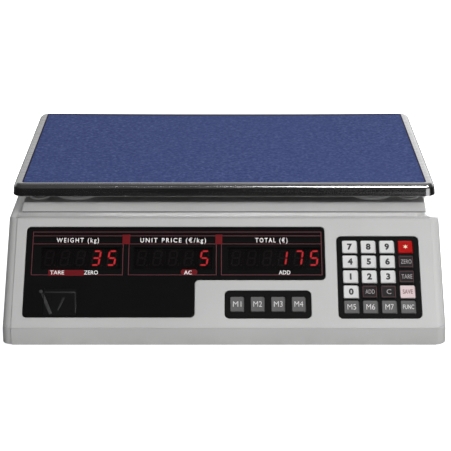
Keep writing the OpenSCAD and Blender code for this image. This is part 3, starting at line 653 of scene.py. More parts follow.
def faults(me):
    """Places (as lists of points) where a mesh folds back on itself, or where a face doesn't fill its outline."""
    me.calc_loop_triangles()
    area = [0.0] * len(me.polygons)
    for t in me.loop_triangles:
        area[t.polygon_index] += t.area
    out = []
    for f in me.polygons:
        if abs(area[f.index] - f.area) > 2e-8 + 0.01 * f.area:
            corners = [me.vertices[v].co.copy() for v in f.vertices]
            out.append([f.center.copy()] + (corners if len(corners) < 5 else []))
    bm = bmesh.new()
    bm.from_mesh(me)
    for e in bm.edges:
        if e.is_manifold and e.calc_face_angle(0) > math.radians(150):
            a, b = (v.co.copy() for v in e.verts)
            out.append([(a + b) / 2, a, b])
    bm.free()
    return out


def edges_near(edges, points, reach):
    tree = kdtree.KDTree(len(points))
    for i, p in enumerate(points):
        tree.insert(p, i)
    tree.balance()
    near = []
    for e in edges:
        a, b = (v.co for v in e.verts)
        d = b - a
        for p, i, far in tree.find_range((a + b) / 2, d.length / 2 + reach):
            t = max(0.0, min(1.0, (p - a).dot(d) / max(d.length_squared, 1e-18)))
            if (p - a - d * t).length < reach:
                near.append(e)
                break
    return near


def softened(node, materials, width=0.4, steps=2, limit=36, smooth=40, slot=None, pick=None, name=None, shape=None, wide=None):
    """A copy of a CAD node with its outward edges rounded, standing for that node. Where a rounding would run into its
    neighbour it is made smaller, and left out if that isn't enough."""
    bm = bmesh.new()
    bm.from_mesh(NODES[node].data)
    for layer in list(bm.loops.layers.float_vector.values()):
        bm.loops.layers.float_vector.remove(layer)
    bmesh.ops.remove_doubles(bm, verts=bm.verts[:], dist=2e-6)
    bmesh.ops.dissolve_limit(bm, angle_limit=math.radians(0.4), use_dissolve_boundaries=False,
                             verts=bm.verts[:], edges=bm.edges[:], delimit=set())
    if shape:
        shape(bm)
    weight = bm.edges.layers.float.get("bevel_weight_edge") or bm.edges.layers.float.new("bevel_weight_edge")
    live = [e for e in bm.edges if e.is_manifold and e.calc_face_angle_signed(0) > math.radians(limit)]
    for e in live:
        e[weight] = wide((e.verts[0].co + e.verts[1].co) / 2 / MM) if wide else 1.0
    me = bpy.data.meshes.new(node)
    bm.to_mesh(me)
    for attribute in [a for a in me.attributes if a.name in ("custom_normal", "sharp_edge", "sharp_face")]:
        me.attributes.remove(attribute)
    own = [spot[0] for spot in faults(me)]
    ob = put(name or node + "_shell", me, materials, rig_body(node), slot, (node,))
    mod = ob.modifiers.new("edges", "BEVEL")
    mod.width = width * MM
    mod.segments = steps
    mod.limit_method = "WEIGHT"
    mod.use_clamp_overlap = False
    mod.miter_outer = "MITER_ARC"
    for attempt in range(7):
        graph = bpy.context.evaluated_depsgraph_get()
        made = bpy.data.meshes.new_from_object(ob.evaluated_get(graph), preserve_all_data_layers=True, depsgraph=graph)
        spots = [spot for spot in faults(made) if all((spot[0] - o).length > MM for o in own)]
        bpy.data.meshes.remove(made)
        if not spots:
            break
        points = [p for spot in spots for p in spot]
        for e in edges_near([e for e in live if e[weight] > 0], points, width * MM * (1.6 if attempt < 4 else 2.6)):
            e[weight] = 0.0 if attempt > 3 or e.calc_length() < 2 * width * MM else (0.0 if e[weight] < 0.3 else e[weight] * 0.6)
        bm.to_mesh(me)
        me.update()
    bm.free()
    applied(ob)
    finish_mesh(ob.data, smooth)
    weighted(ob)
    if pick:
        for f in ob.data.polygons:
            f.material_index = pick(f.center / MM, f.normal)
    return ob


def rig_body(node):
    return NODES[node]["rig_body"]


def dress(node, materials, pick=None):
    """Gives a CAD node that stays its finish."""
    me = NODES[node].data
    me.materials.clear()
    for m in materials:
        me.materials.append(m)
    for f in me.polygons:
        f.material_index = pick(f.center / MM, f.normal) if pick else 0
    me.shade_smooth()
    me.set_sharp_from_angle(angle=math.radians(30))


# ---------------------------------------------------------------- lettering
def lettering_mesh(text, weight=0.0, spacing=1.0, slant=0.0):
    curve = bpy.data.curves.new("lettering", "FONT")
    curve.body = text
    curve.size = 1
    curve.extrude = 0.5
    curve.offset = weight
    curve.space_character = spacing
    curve.shear = slant
    curve.resolution_u = 3
    ob = bpy.data.objects.new("lettering", curve)
    bpy.context.scene.collection.objects.link(ob)
    graph = bpy.context.evaluated_depsgraph_get()
    me = bpy.data.meshes.new_from_object(ob.evaluated_get(graph))
    bpy.data.objects.remove(ob)
    bpy.data.curves.remove(curve)
    return me


def cap_height():
    me = lettering_mesh("H")
    ys = [v.co.y for v in me.vertices]
    bpy.data.meshes.remove(me)
    return max(ys)


CAP = cap_height()


def letter(bm, text, x, y, height, z, place, width=None, weight=0.0, spacing=1.0, slant=0.0, thick=0.03, index=0, align="middle"):
    """Adds raised lettering of that cap height, with its middle (or left end) at x and its caps centred on y."""
    me = lettering_mesh(text, weight, spacing, slant)
    xs = [v.co.x for v in me.vertices]
    x0, x1 = min(xs), max(xs)
    sy = height / CAP
    sx = width / (x1 - x0) if width else sy
    left = x - (x1 - x0) * sx / 2 if align == "middle" else x
    for v in me.vertices:
        v.co = place @ Vector((left + (v.co.x - x0) * sx, y + (v.co.y - CAP / 2) * sy, z + (v.co.z + 0.5) * thick))
    part = bmesh.new()
    part.from_mesh(me)
    bmesh.ops.remove_doubles(part, verts=part.verts[:], dist=1e-7)
    for f in part.faces:
        f.material_index = index
    part.to_mesh(me)
    part.free()
    bm.from_mesh(me)
    bpy.data.meshes.remove(me)


# ---------------------------------------------------------------- seven-segment digits
SEGMENTS = {"0": "abcdef", "1": "bc", "2": "abged", "3": "abgcd", "4": "fgbc", "5": "afgcd", "6": "afgedc",
            "7": "abc", "8": "abcdefg", "9": "abcdfg", " ": ""}
LEAN = math.tan(math.radians(8))


def segment(name, w, h, t, gap):
    """The outline of one segment, w x h the digit, t the stroke."""
    def across(y):
        a, b = t / 2 + gap, w - t / 2 - gap
        return [(a, y), (a + t / 2, y - t / 2), (b - t / 2, y - t / 2), (b, y), (b - t / 2, y + t / 2), (a + t / 2, y + t / 2)]

    def upright(x, y0, y1):
        a, b = y0 + gap, y1 - gap
        return [(x, a), (x + t / 2, a + t / 2), (x + t / 2, b - t / 2), (x, b), (x - t / 2, b - t / 2), (x - t / 2, a + t / 2)]

    return {"a": lambda: across(h - t / 2), "g": lambda: across(h / 2), "d": lambda: across(t / 2),
            "f": lambda: upright(t / 2, h / 2, h - t / 2), "b": lambda: upright(w - t / 2, h / 2, h - t / 2),
            "e": lambda: upright(t / 2, t / 2, h / 2), "c": lambda: upright(w - t / 2, t / 2, h / 2)}[name]()


def shrink(outline, d):
    """A convex outline drawn in by d."""
    pts = [Vector(p) for p in outline]
    out, k = [], len(pts)
    for i in range(k):
        a, b, c = pts[i - 1], pts[i], pts[(i + 1) % k]
        e, f = (b - a).normalized(), (c - b).normalized()
        n1, n2 = Vector((-e.y, e.x)), Vector((-f.y, f.x))
        p = b + (n1 + n2) * (d / (1 + n1.dot(n2)))
        out.append((p.x, p.y))
    return out


def readout(prefix, groups, s, z, place, shown):
    """Lit and unlit segments on the faces of the digit modules."""
    w, h, t = 7.3, 14.2, 1.55
    lit, core, dark = bmesh.new(), bmesh.new(), bmesh.new()
    for (right, count), text in zip(groups, shown):
        text = text.rjust(count)
        for i, mark in enumerate(text):
            cx = right - (count - 1 - i) * 12.55

            def put_at(outline):
                return [(cx - w / 2 + x + (y - h / 2) * LEAN, s - h / 2 + y) for x, y in outline]

            for name in "abcdefg":
                shape = segment(name, w, h, t, 0.12)
                if name in SEGMENTS[mark]:
                    shape = segment(name, w, h, 1.78, 0.08)
                    stack(lit, [(put_at(shape), z), (put_at(shape), z + 0.05)], place)
                    inner = put_at(shrink(shape, 0.36))
                    stack(core, [(inner, z + 0.05), (inner, z + 0.08)], place)
                else:
                    stack(dark, [(put_at(shape), z), (put_at(shape), z + 0.05)], place)
            dot = circle(w + 1.5, t / 2, 0.8, 16)
            stack(dark, [(put_at(dot), z), (put_at(dot), z + 0.05)], place)
    piece(prefix + "_segments_lit", lit, [MAT["halo"]], "housing", flat_faces=False)
    piece(prefix + "_segments_core", core, [MAT["core"]], "housing", flat_faces=False)
    piece(prefix + "_segments_unlit", dark, [MAT["ghost"]], "housing", flat_faces=False)


def lens(name, outline, clear, pockets, z0, z1, place, node, slot, steps=8):
    """A lens: black print with clear places, its edge rounded; pockets are sunk a little into its face."""
    bm = bmesh.new()
    base = ring(bm, rounded(inset(outline, 0.12), steps), z0, place)
    side = ring(bm, rounded(outline, steps), z0 + 0.12, place)
    shoulder = ring(bm, rounded(outline, steps), z1 - 0.3, place)
    mid = ring(bm, rounded(inset(outline, 0.09), steps), z1 - 0.09, place)
    edge = ring(bm, rounded(inset(outline, 0.3), steps), z1, place)
    for a, b in ((base, side), (side, shoulder), (shoulder, mid), (mid, edge)):
        bridge(bm, a, b)
    tops, bottoms = [edge], [base]
    for area in clear:
        up, down = ring(bm, rounded(area, 4), z1, place), ring(bm, rounded(area, 4), z0, place)
        cap(bm, up, True, 1)
        cap(bm, down, False, 1)
        tops.append(up)
        bottoms.append(down)
    for area in pockets:
        rim = ring(bm, rounded(area, 4), z1, place)
        lip = ring(bm, rounded(inset(area, 0.12), 4), z1 - 0.04, place)
        wall = ring(bm, rounded(inset(area, 0.22), 4), z1 - 0.35, place)
        bridge(bm, rim, lip)
        bridge(bm, lip, wall, 2)
        cap(bm, wall, True, 2)
        tops.append(rim)
    fill(bm, tops)
    fill(bm, bottoms)
    return piece(name, bm, [MAT["lens"], MAT["smoke"], MAT["pocket"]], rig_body(node), slot, (node,))


# ---------------------------------------------------------------- housing and fixed shells
def drafted(bm):
    """The plinth's sides lean in a little towards its top, as the moulding has to."""
    for v in bm.verts:
        if v.co.z > 86.0 * MM and abs(v.co.x) > 155 * MM:
            v.co.x -= math.copysign(0.15 * (v.co.z - 85.7 * MM), v.co.x)


# Painted shade: the plinth's upward faces under the pan, away from the collars, take the darker housing copy
def painted_shade_deck(c, n):
    collar = min(math.hypot(abs(c.x) - 122, c.y - y) for y in (-53.9, 106.1)) < 18.5
    return 1 if c.z > 93.4 and n.z > 0.9 and not collar else 0


softened("upper_housing", [MAT["housing"], MAT["housing_painted_shade_deck"]], 0.5, 3, slot="housing_abs", shape=drafted, pick=painted_shade_deck)


def deepened(bm):
    """The skirt's lower rim comes a little nearer to the table, as in the photograph."""
    for v in bm.verts:
        if v.co.z < 4.6 * MM:
            v.co.z -= 1.1 * MM


softened("lower_housing", [MAT["housing"]], 0.5, 3, slot="housing_abs", shape=deepened)

# The fine lip that runs along the ledge's front edge, in a darker copy of the housing colour: painted shade along that
# edge
bm = bmesh.new()
lip = [(-92.75, 84.98), (-92.45, 84.80), (-91.0, 85.2), (-90.4, 85.6), (-90.6, 85.93), (-91.1, 86.02), (-92.1, 85.86), (-92.6, 85.45)]
ends = []
for x, k in ((-167.2, 0.4), (-166.6, 0.85), (-165.8, 1.0), (165.8, 1.0), (166.6, 0.85), (167.2, 0.4)):
    ends.append([bm.verts.new(ROW @ Vector((x, -91.5 + (y + 91.5) * k, 85.35 + (z - 85.35) * k))) for y, z in lip])
for a, b in zip(ends, ends[1:]):
    bridge(bm, a, b)
cap(bm, ends[0], False)
cap(bm, ends[-1], True)
piece("ledge_lip", bm, [MAT["housing_lip_painted_shade"]], "housing", smooth=70, flat_faces=False)

# A dark strip in the groove at the foot of the plinth: painted shade for the shadow in that groove
bm = bmesh.new()
groove_shade = [(-78.95, 84.95), (-77.9, 84.95), (-77.9, 86.15), (-78.1, 86.25), (-78.45, 86.05), (-78.95, 85.75)]
ends = []
for x, k in ((-165.1, 0.7), (-164.8, 1.0), (164.8, 1.0), (165.1, 0.7)):
    ends.append([bm.verts.new(ROW @ Vector((x, -78.4 + (y + 78.4) * k, 85.5 + (z - 85.5) * k))) for y, z in groove_shade])
for a, b in zip(ends, ends[1:]):
    bridge(bm, b, a)
cap(bm, ends[0], True)
cap(bm, ends[-1], False)
piece("plinth_groove_shade", bm, [MAT["groove_shade"]], "housing", smooth=50, flat_faces=False)

softened("battery_cover", [MAT["housing"]], 0.4, 2, slot="housing_abs")
softened("keypad_bezel", [MAT["bezel"]], 0.22, 2, slot="bezel_black")
softened("memory_bezel", [MAT["bezel"]], 0.22, 2, slot="bezel_black")

# Front lens
WIN = [(-159.35, 9.15, 3.5), (-23.45, 9.15, 3.5), (-23.45, 41.95, 3.5), (80.85, 41.95, 3.5), (80.85, 89.85, 3.5),
       (-159.35, 89.85, 3.5)]
BOXES = [(-154.3, -80.9), (-76.8, -6.0), (-2.5, 78.5)]
LOW, HEAD, HIGH, TOP = 46.2, 74.3, 81.9, 85.4
LINE = 0.62
clear = [rect(max(a + 1.0, r - (n - 0.5) * 12.55 - 0.3), 51.4, min(b - 1.0, r + 6.6), 71.0, 0.5)
         for (a, b), (r, n) in zip(BOXES, ((-89.7, 5), (-15.7, 5), (72.3, 6)))]
lens("front_lens", WIN, clear, [rect(-142.7, 11.1, -116.7, 34.7, 0.6)], -1.5, -0.3, PANEL, "display_window", "window_black")

FACE = -0.3
bm = bmesh.new()
bars = []
for a, b in BOXES:
    bars += frame_rects(a, LOW, b, HIGH, LINE)
    bars.append((a + LINE, HEAD - LINE / 2, b - LINE, HEAD + LINE / 2))
bars.append((-154.3, TOP - LINE, 78.5, TOP))
bars.append((-154.3, HIGH, -154.3 + LINE, TOP - LINE))
bars.append((78.5 - LINE, HIGH, 78.5, TOP - LINE))
for x0, y0, x1, y1 in bars:
    box(bm, x0, y0, x1, y1, FACE, FACE + 0.02, PANEL)
piece("front_lens_lines", bm, [MAT["line"]], "housing", flat_faces=False)

bm = bmesh.new()
for a, b in zip(BOXES, BOXES[1:]):
    box(bm, a[1] - 1.0, HEAD - LINE / 2, b[0] + 1.0, HIGH + 0.8, FACE + 0.02, FACE + 0.03, PANEL)
box(bm, -140.4, LOW - 0.5, -111.8, 50.9, FACE + 0.02, FACE + 0.03, PANEL)
blob = [(-34.6, 46.6, 2.2), (-21.4, 46.6, 2.2), (-21.4, 51.4, 2.2), (-34.6, 51.4, 2.2)]
stack(bm, [(rounded(blob, 6), FACE + 0.02), (rounded(blob, 6), FACE + 0.03)], PANEL)
piece("front_lens_marks", bm, [MAT["red_block"]], "housing", flat_faces=False)

bm = bmesh.new()
z = FACE + 0.03
letter(bm, "WEIGHT (kg)", -117.9, 77.6, 3.9, z, PANEL, width=34.0, weight=0.008, spacing=1.38)
letter(bm, "UNIT PRICE (\u20ac/kg)", -41.1, 77.6, 3.9, z, PANEL, width=52.9, weight=0.008, spacing=1.38)
letter(bm, "TOTAL (\u20ac)", 38.1, 77.6, 3.9, z, PANEL, width=25.9, weight=0.008, spacing=1.38)
for text, x0, x1 in (("TARE", -139.0, -127.8), ("ZERO", -111.9, -100.7), ("AC", -32.0, -25.8), ("ADD", 43.7, 52.9)):
    letter(bm, text, (x0 + x1) / 2, 48.6, 3.4, z, PANEL, width=x1 - x0, weight=0.006)
piece("front_lens_titles", bm, [MAT["white_ink"]], "housing", fix=False, flat_faces=False)

# A lighter grey knob and two bars in the pocket at the lens's lower left: painted highlight in the V shape of the gleam
# there
bm = bmesh.new()


def bar(a, b, wide, z0, z1, taper=1.0):
    a, b = Vector(a), Vector(b)
    side = Vector((-(b - a).y, (b - a).x)).normalized() * wide / 2
    outline = [tuple(a - side), tuple(b - side * taper), tuple(b + side * taper), tuple(a + side)]
    if sum(p[0] * q[1] - q[0] * p[1] for p, q in zip(outline, outline[1:] + outline[:1])) < 0:
        outline.reverse()
    stack(bm, [(outline, z0), (shrink(outline, 0.10), z1 - 0.03), (shrink(outline, 0.28), z1)], PANEL)


bar((-144.7, 30.8), (-140.8, 21.6), 2.6, -0.55, -0.30, 1.0)
bar((-140.9, 21.6), (-136.9, 12.3), 2.6, -0.65, -0.36, 1.0)
stack(bm, [(circle(-145.5, 31.9, 1.45, 24), -0.42), (circle(-145.5, 31.9, 1.45, 24), -0.22), (circle(-145.5, 31.9, 1.05, 24), -0.12)], PANEL)
piece("front_lens_pocket_gleam", bm, [MAT["pocket_gleam"]], "housing", flat_faces=False)
# Lighter bars along the pocket's top and right edges and a faint diagonal: painted highlight
bm = bmesh.new()
bar((-143.6, 31.4), (-118.4, 31.4), 1.3, -0.65, -0.55, 1.0)
bar((-118.2, 31.4), (-117.4, 13.6), 1.0, -0.65, -0.58, 1.0)
bar((-127.2, 26.6), (-131.6, 15.4), 1.9, -0.65, -0.56, 0.6)
piece("front_lens_pocket_highlight", bm, [MAT["pocket_highlight"]], "housing", flat_faces=False)

GROUPS = [(-90.2, 5), (-16.0, 5), (72.3, 6)]
readout("front", GROUPS, 62.8, -2.9, PANEL, ["35", "5", "175"])

# Customer side
bm = None
lens("rear_lens", rect(-119.85, 12.15, 119.85, 59.85, 3.35),
     [rect(-117.0, 24.5, -48.0, 51.5, 1.0), rect(-43.0, 24.5, 26.0, 51.5, 1.0), rect(31.0, 24.5, 115.5, 51.5, 1.0)],
     [], -1.5, -0.3, REAR, "rear_window", "window_black")
REAR_GROUPS = [(-56.5, 5), (17.5, 5), (106.0, 6)]
readout("rear", REAR_GROUPS, 39, -2.6, REAR, ["35", "5", "175"])
bm = bmesh.new()
for a, b in ((-117.6, -47.4), (-43.6, 26.6), (30.4, 116.1)):
    for x0, y0, x1, y1 in frame_rects(a, 23.9, b, 52.1, 0.5):
        box(bm, x0, y0, x1, y1, FACE, FACE + 0.02, REAR)
piece("rear_lens_lines", bm, [MAT["line"]], "housing", flat_faces=False)
bm = bmesh.new()
for text, x, wide in (("WEIGHT (kg)", -82.5, 30), ("UNIT PRICE (\u20ac/kg)", -8.5, 46), ("TOTAL (\u20ac)", 73.2, 23)):
    letter(bm, text, x, 55.6, 3.4, FACE, REAR, width=wide, weight=0.012, spacing=1.25)
piece("rear_lens_titles", bm, [MAT["white_ink"]], "housing", fix=False, flat_faces=False)

# ---------------------------------------------------------------- weighing pan and its film
PAN = (-171.0, -88.9, 171.0, 141.1)
TOP_Z, BOTTOM_Z = 112.5, 102.5


def pan_outline(d, steps=10):
    """The pan's outline moved in by d. The fold along its rear edge is tighter than the others."""
    out = rounded(inset(rect(*PAN, 8.0), d), steps)
    return [(x, y + 0.55 * d if y > 100 else y) for x, y in out]


def bowed(outline, bow, n=24):
    """The film was cut short along the rear edge, most in its middle."""
    out = []
    for a, b in zip(outline, outline[1:] + outline[:1]):
        out.append(a)
        if a[1] > 120 and abs(a[0] - b[0]) > 200:
            for i in range(1, n):
                u = i / n * 2 - 1
                out.append((a[0] + (b[0] - a[0]) * i / n, a[1] - bow * (1 - u * u)))
    return out


bm = bmesh.new()
bend, sheet, flare = 4.0, 1.2, 0.6
layers = []
for d, z in ((10.0, TOP_Z - sheet), (bend + 0.6, TOP_Z - sheet)):
    layers.append((d, z))
for i in range(6):
    a = math.pi / 2 * (1 - i / 5)
    layers.append((bend - (bend - sheet) * math.cos(a), TOP_Z - bend + (bend - sheet) * math.sin(a)))
for i in range(9):
    a = math.pi * i / 8
    layers.append((sheet / 2 + sheet / 2 * math.cos(a), BOTTOM_Z + sheet / 2 - sheet / 2 * math.sin(a)))
for i in range(8):
    a = math.pi / 2 * i / 7
    layers.append((bend - bend * math.cos(a), TOP_Z - bend + bend * math.sin(a)))
layers += [(bend + 0.5, TOP_Z), (10.0, TOP_Z)]
layers = [(d - flare * max(0.0, TOP_Z - bend - z) / (TOP_Z - bend - BOTTOM_Z), z) for d, z in layers]
loops = [ring(bm, pan_outline(d), z, ROW) for d, z in layers]
for a, b in zip(loops, loops[1:]):
    bridge(bm, a, b)
cap(bm, loops[0], False)
cap(bm, loops[-1], True)
for i in range(4):
    x, y = (-1 if i % 2 == 0 else 1) * 122, 26.1 + (-1 if i < 2 else 1) * 80
    o, n = circle(x, y, 14), circle(x, y, 12.2)
    rings = [ring(bm, o, 111.55, ROW), ring(bm, o, 108.8, ROW), ring(bm, circle(x, y, 13.8), 108.5, ROW),
             ring(bm, circle(x, y, 12.4), 108.5, ROW), ring(bm, n, 108.8, ROW), ring(bm, n, 111.55, ROW)]
    for a, b in zip(rings, rings[1:] + rings[:1]):
        bridge(bm, a, b)
pan = piece("pan", bm, [MAT["stainless"], MAT["rim"]], "pan", "stainless", ("weighing_pan",))
for f in pan.data.polygons:
    f.material_index = 0 if abs(f.normal.z) > 0.86 else 1

bm = bmesh.new()
FILM = rect(-164.2, -83.1, 164.2, 138.7, 3.0)
stack(bm, [(bowed(rounded(FILM, 6), 4.2), 112.5), (bowed(rounded(FILM, 6), 4.2), 112.59),
           (bowed(rounded(inset(FILM, 0.12), 6), 4.2), 112.65),
           (bowed(rounded(rect(-162.85, -82.9, 162.85, 135.0, 2.0), 6), 4.2), 112.65)], ROW)
film = piece("film", bm, [MAT["film"], MAT["film_edge_shade"]], "pan", "film_blue", ("pan_film",))
# Painted shade: the film's side walls and its flat border along the sides and rear take the darker edge colour
for f in film.data.polygons:
    f.material_index = 1 if len(f.vertices) < 8 and f.center.y > -81.5 * MM else 0

# ---------------------------------------------------------------- keys
PAD_C, MEM_C = (123.3, 44.7), (34.7, 20.45)
KEYS = [
    ("digit_key_7", 0, 0, "key_white", "7"), ("digit_key_8", 1, 0, "key_white", "8"), ("digit_key_9", 2, 0, "key_white", "9"),
    ("star_key", 3, 0, "key_red", "*"), ("digit_key_4", 0, 1, "key_white", "4"), ("digit_key_5", 1, 1, "key_white", "5"),
    ("digit_key_6", 2, 1, "key_white", "6"), ("zero_key", 3, 1, "key_black", "ZERO"), ("digit_key_1", 0, 2, "key_white", "1"),
    ("digit_key_2", 1, 2, "key_white", "2"), ("digit_key_3", 2, 2, "key_white", "3"), ("tare_key", 3, 2, "key_black", "TARE"),
    ("digit_key_0", 0, 3, "key_white", "0"), ("add_key", 1, 3, "key_black", "ADD"), ("clear_key", 2, 3, "key_black", "C"),
    ("save_key", 3, 3, "key_pink", "SAVE"), ("memory_key_5", 0, 4, "key_grey", "M5"), ("memory_key_6", 1, 4, "key_grey", "M6"),
    ("memory_key_7", 2, 4, "key_grey", "M7"), ("func_key", 3, 4, "key_grey", "FUNC")]
WIDE = {"ZERO": 8.6, "TARE": 8.6, "ADD": 7.4, "SAVE": 8.0, "FUNC": 8.8, "M1": 6.6, "M2": 6.8, "M3": 6.8, "M4": 6.8,
        "M5": 6.8, "M6": 6.8, "M7": 6.6}


def key(node, x, y, w, h, paint, text):
    bm = bmesh.new()
    crown = about(x - 0.3, y, w - 0.75, h, 0.8)
    flange = about(x, y, w + 1.6, h + 1.6, 0.6)
    stack(bm, [(rounded(flange, 4), -2.4), (rounded(flange, 4), -1.62), (rounded(inset(flange, 0.05), 4), -1.6),
               (rounded(inset(crown, -0.02), 4), -1.6), (rounded(crown, 4), -1.5),
               (rounded(crown, 4), 0.18), (rounded(inset(crown, 0.04), 4), 0.36), (rounded(inset(crown, 0.14), 4), 0.50),
               (rounded(inset(crown, 0.30), 4), 0.58), (rounded(inset(crown, 0.50), 4), 0.60),
               (rounded(inset(crown, 0.72), 4), 0.57), (rounded(inset(crown, 1.00), 4), 0.49),
               (rounded(inset(crown, 1.35), 4), 0.46)], PANEL)
    piece(node + "_cap", bm, [MAT[paint]], node, paint, (node,), smooth=50)
    z = 0.46
    bm = bmesh.new()
    if text == "*":
        points = []
        for i in range(12):
            r = 2.15 if i % 2 == 0 else 0.85
            a = math.pi / 2 + math.pi * i / 6
            points.append((x + r * math.cos(a), y + r * math.sin(a)))
        stack(bm, [(points, z), (points, z + 0.03)], PANEL)
        shade = "pale_ink"
    elif len(text) == 1 and text.isdigit():
        letter(bm, text, x, y, 4.9, z, PANEL, weight=0.050)
        shade = "dark_ink"
    elif paint == "key_black":
        letter(bm, text, x, y, 4.0 if text == "C" else 3.7, z, PANEL, width=WIDE.get(text), weight=0.004)
        shade = "mist_ink"
    elif paint == "key_pink":
        letter(bm, text, x, y, 3.6, z, PANEL, width=WIDE[text], weight=0.030)
        shade = "brown_ink"
    else:
        letter(bm, text, x, y, 4.8 if text[0] == "M" else 3.8, z, PANEL, width=WIDE[text], weight=-0.010 if text[0] == "M" else 0.004)
        shade = "soft_ink"
    piece(node + "_legend", bm, [MAT[shade]], node, fix=text == "*", flat_faces=False)
    if paint == "key_black":
        bm = bmesh.new()
        for x0, y0, x1, y1 in frame_rects(x - w / 2 + 0.22, y - h / 2 + 0.62, x + w / 2 - 0.84, y + h / 2 - 0.62, 0.36):
            box(bm, x0, y0, x1, y1, 0.50, 0.60, PANEL)
        piece(node + "_border", bm, [MAT["rose_ink"]], node, flat_faces=False)


for node, i, j, paint, text in KEYS:
    key(node, PAD_C[0] + (i - 1.5) * 14.95, PAD_C[1] + (2 - j) * 13.35, 12.1, 10.9, paint, text)
for i in range(4):
    key(f"memory_key_{i + 1}", MEM_C[0] + (i - 1.5) * 16.25, MEM_C[1], 11.1, 12.7, "key_grey", f"M{i + 1}")

# ---------------------------------------------------------------- mains inlet and rocker
SOCK = (85.5, 47.0)


def inlet_parts(c, n):
    for y, z in ((-7, -1), (0, 3), (7, -1)):
        if abs(c.y - SOCK[0] - y) < 1.15 and abs(c.z - SOCK[1] - z) < 2.15 and 157.3 < c.x < 172.6:
            return 1
    return 1 if c.x < 146.9 else 0


softened("power_inlet", [MAT["inlet"], MAT["pin"]], 0.28, 2, slot="inlet_black", pick=inlet_parts)
softened("power_rocker", [MAT["rocker"]], 0.45, 3, slot="rocker_red")
TILT = (SCALE @ Matrix.Translation((167.2, 110.0, 47.0)) @ Matrix.Rotation(math.radians(-9), 4, "Y"))
for name, a, b in (("off", (6.0, 8.4), (4.2, 0.0)), ("on", (4.2, 0.0), (6.0, -8.4))):
    a, b = Vector((a[0], 0, a[1])), Vector((b[0], 0, b[1]))
    up = (a - b).normalized()
    across = Vector((0, 1, 0))
    out = across.cross(up).normalized()
    middle = (a + b) / 2
    place = TILT @ Matrix(((across.x, up.x, out.x, middle.x), (across.y, up.y, out.y, middle.y),
                           (across.z, up.z, out.z, middle.z), (0, 0, 0, 1)))
    bm = bmesh.new()
    if name == "on":
        box(bm, -0.35, -2.0, 0.35, 2.0, -0.02, 0.03, place)
    else:
        rings = [ring(bm, circle(0, 0, r, 28), z, place) for r, z in ((2.1, -0.02), (2.1, 0.03), (1.5, 0.03), (1.5, -0.02))]
        for p, q in zip(rings, rings[1:] + rings[:1]):
            bridge(bm, p, q)
    piece("rocker_mark_" + name, bm, [MAT["white_ink"]], "rocker", flat_faces=False)

# ---------------------------------------------------------------- bubble level
LEVEL = (0.0, -52.0)
bm = bmesh.new()
stack(bm, [(circle(*LEVEL, 7.3), 85.8), (circle(*LEVEL, 7.5), 86.0), (circle(*LEVEL, 7.5), 93.9), (circle(*LEVEL, 7.3), 94.15),
           (circle(*LEVEL, 7.0), 94.2), (circle(*LEVEL, 6.2), 94.2), (circle(*LEVEL, 6.0), 94.05), (circle(*LEVEL, 5.9), 93.6)], ROW)
piece("level_case", bm, [MAT["foot_black"]], "housing", "level_fluid", ("bubble_level",), smooth=50)
bm = bmesh.new()
stack(bm, [(circle(*LEVEL, 5.9), 93.62), (circle(*LEVEL, 5.9), 93.9), (circle(*LEVEL, 4.4), 94.0), (circle(*LEVEL, 2.2), 94.05)], ROW)
piece("level_vial", bm, [MAT["fluid"]], "housing", smooth=60)
bm = bmesh.new()
rings = [ring(bm, circle(*LEVEL, r), z, ROW) for r, z in ((2.75, 94.03), (2.75, 94.075), (2.45, 94.08), (2.45, 94.03))]
for a, b in zip(rings, rings[1:] + rings[:1]):
    bridge(bm, a, b)
piece("level_target", bm, [MAT["dark_ink"]], "housing", flat_faces=False)
bm = bmesh.new()
stack(bm, [(circle(0.4, -51.7, 1.7), 94.04), (circle(0.4, -51.7, 1.5), 94.10), (circle(0.4, -51.7, 0.9), 94.14)], ROW)
piece("level_bubble", bm, [MAT["white_ink"]], "housing", smooth=60, flat_faces=False)

# ---------------------------------------------------------------- feet
FEET = ["front_left", "front_right", "rear_left", "rear_right"]
for i, f in enumerate(FEET):
    x, y = (-1 if i % 2 == 0 else 1) * 145, (-1 if i < 2 else 1) * 132
    softened("foot_pad_" + f, [MAT["foot_rubber"]], 0.5, 3, slot="foot_rubber")

    def stud(c, n, x=x, y=y):
        return 1 if math.hypot(c.x - x, c.y - y) < 3.3 and c.z > 9 else 0

    softened("foot_stud_" + f, [MAT["foot_black"], MAT["zinc"]], 0.25, 2, slot="foot_black", pick=stud)

# ---------------------------------------------------------------- inside
softened("housing_screws", [MAT["zinc"]], 0.15, 2, slot="zinc_steel")
softened("frame_screws", [MAT["zinc"]], 0.25, 2, slot="zinc_steel")
softened("spider_screws", [MAT["zinc"]], 0.25, 2, slot="zinc_steel")
softened("overload_stops", [MAT["zinc"]], 0.25, 2, slot="zinc_steel")
softened("load_cell", [MAT["cell"]], 0.4, 2, slot="cell_aluminium")
softened("base_frame", [MAT["cast"]], 0.5, 2, slot="cast_aluminium")
softened("pan_spider", [MAT["cast"]], 0.6, 2, slot="cast_aluminium")
softened("pan_pads", [MAT["pad_rubber"]], 0.6, 3, slot="pad_rubber")
softened("battery", [MAT["battery"], MAT["pin"]], 0.6, 3, slot="battery_case", pick=lambda c, n: 1 if c.z > 44.6 and c.z < 46.6 and c.x < 20.0 else 0)
dress("front_digits", [MAT["led_face"]])
dress("rear_digits", [MAT["led_face"]])
dress("main_board", [MAT["board"], MAT["chip"], MAT["cell"]],
      lambda c, n: 0 if c.z < 13.75 else (2 if c.z > 27 or (n.z > 0.9 and c.z > 20 and c.y > -72) else 1))
dress("transformer", [MAT["iron"], MAT["tape"]],
      lambda c, n: 1 if (c.y < 103.5 or c.y > 118.5) and c.z > 11 else 0)


def into(place, c):
    return place.inverted() @ (c * MM)


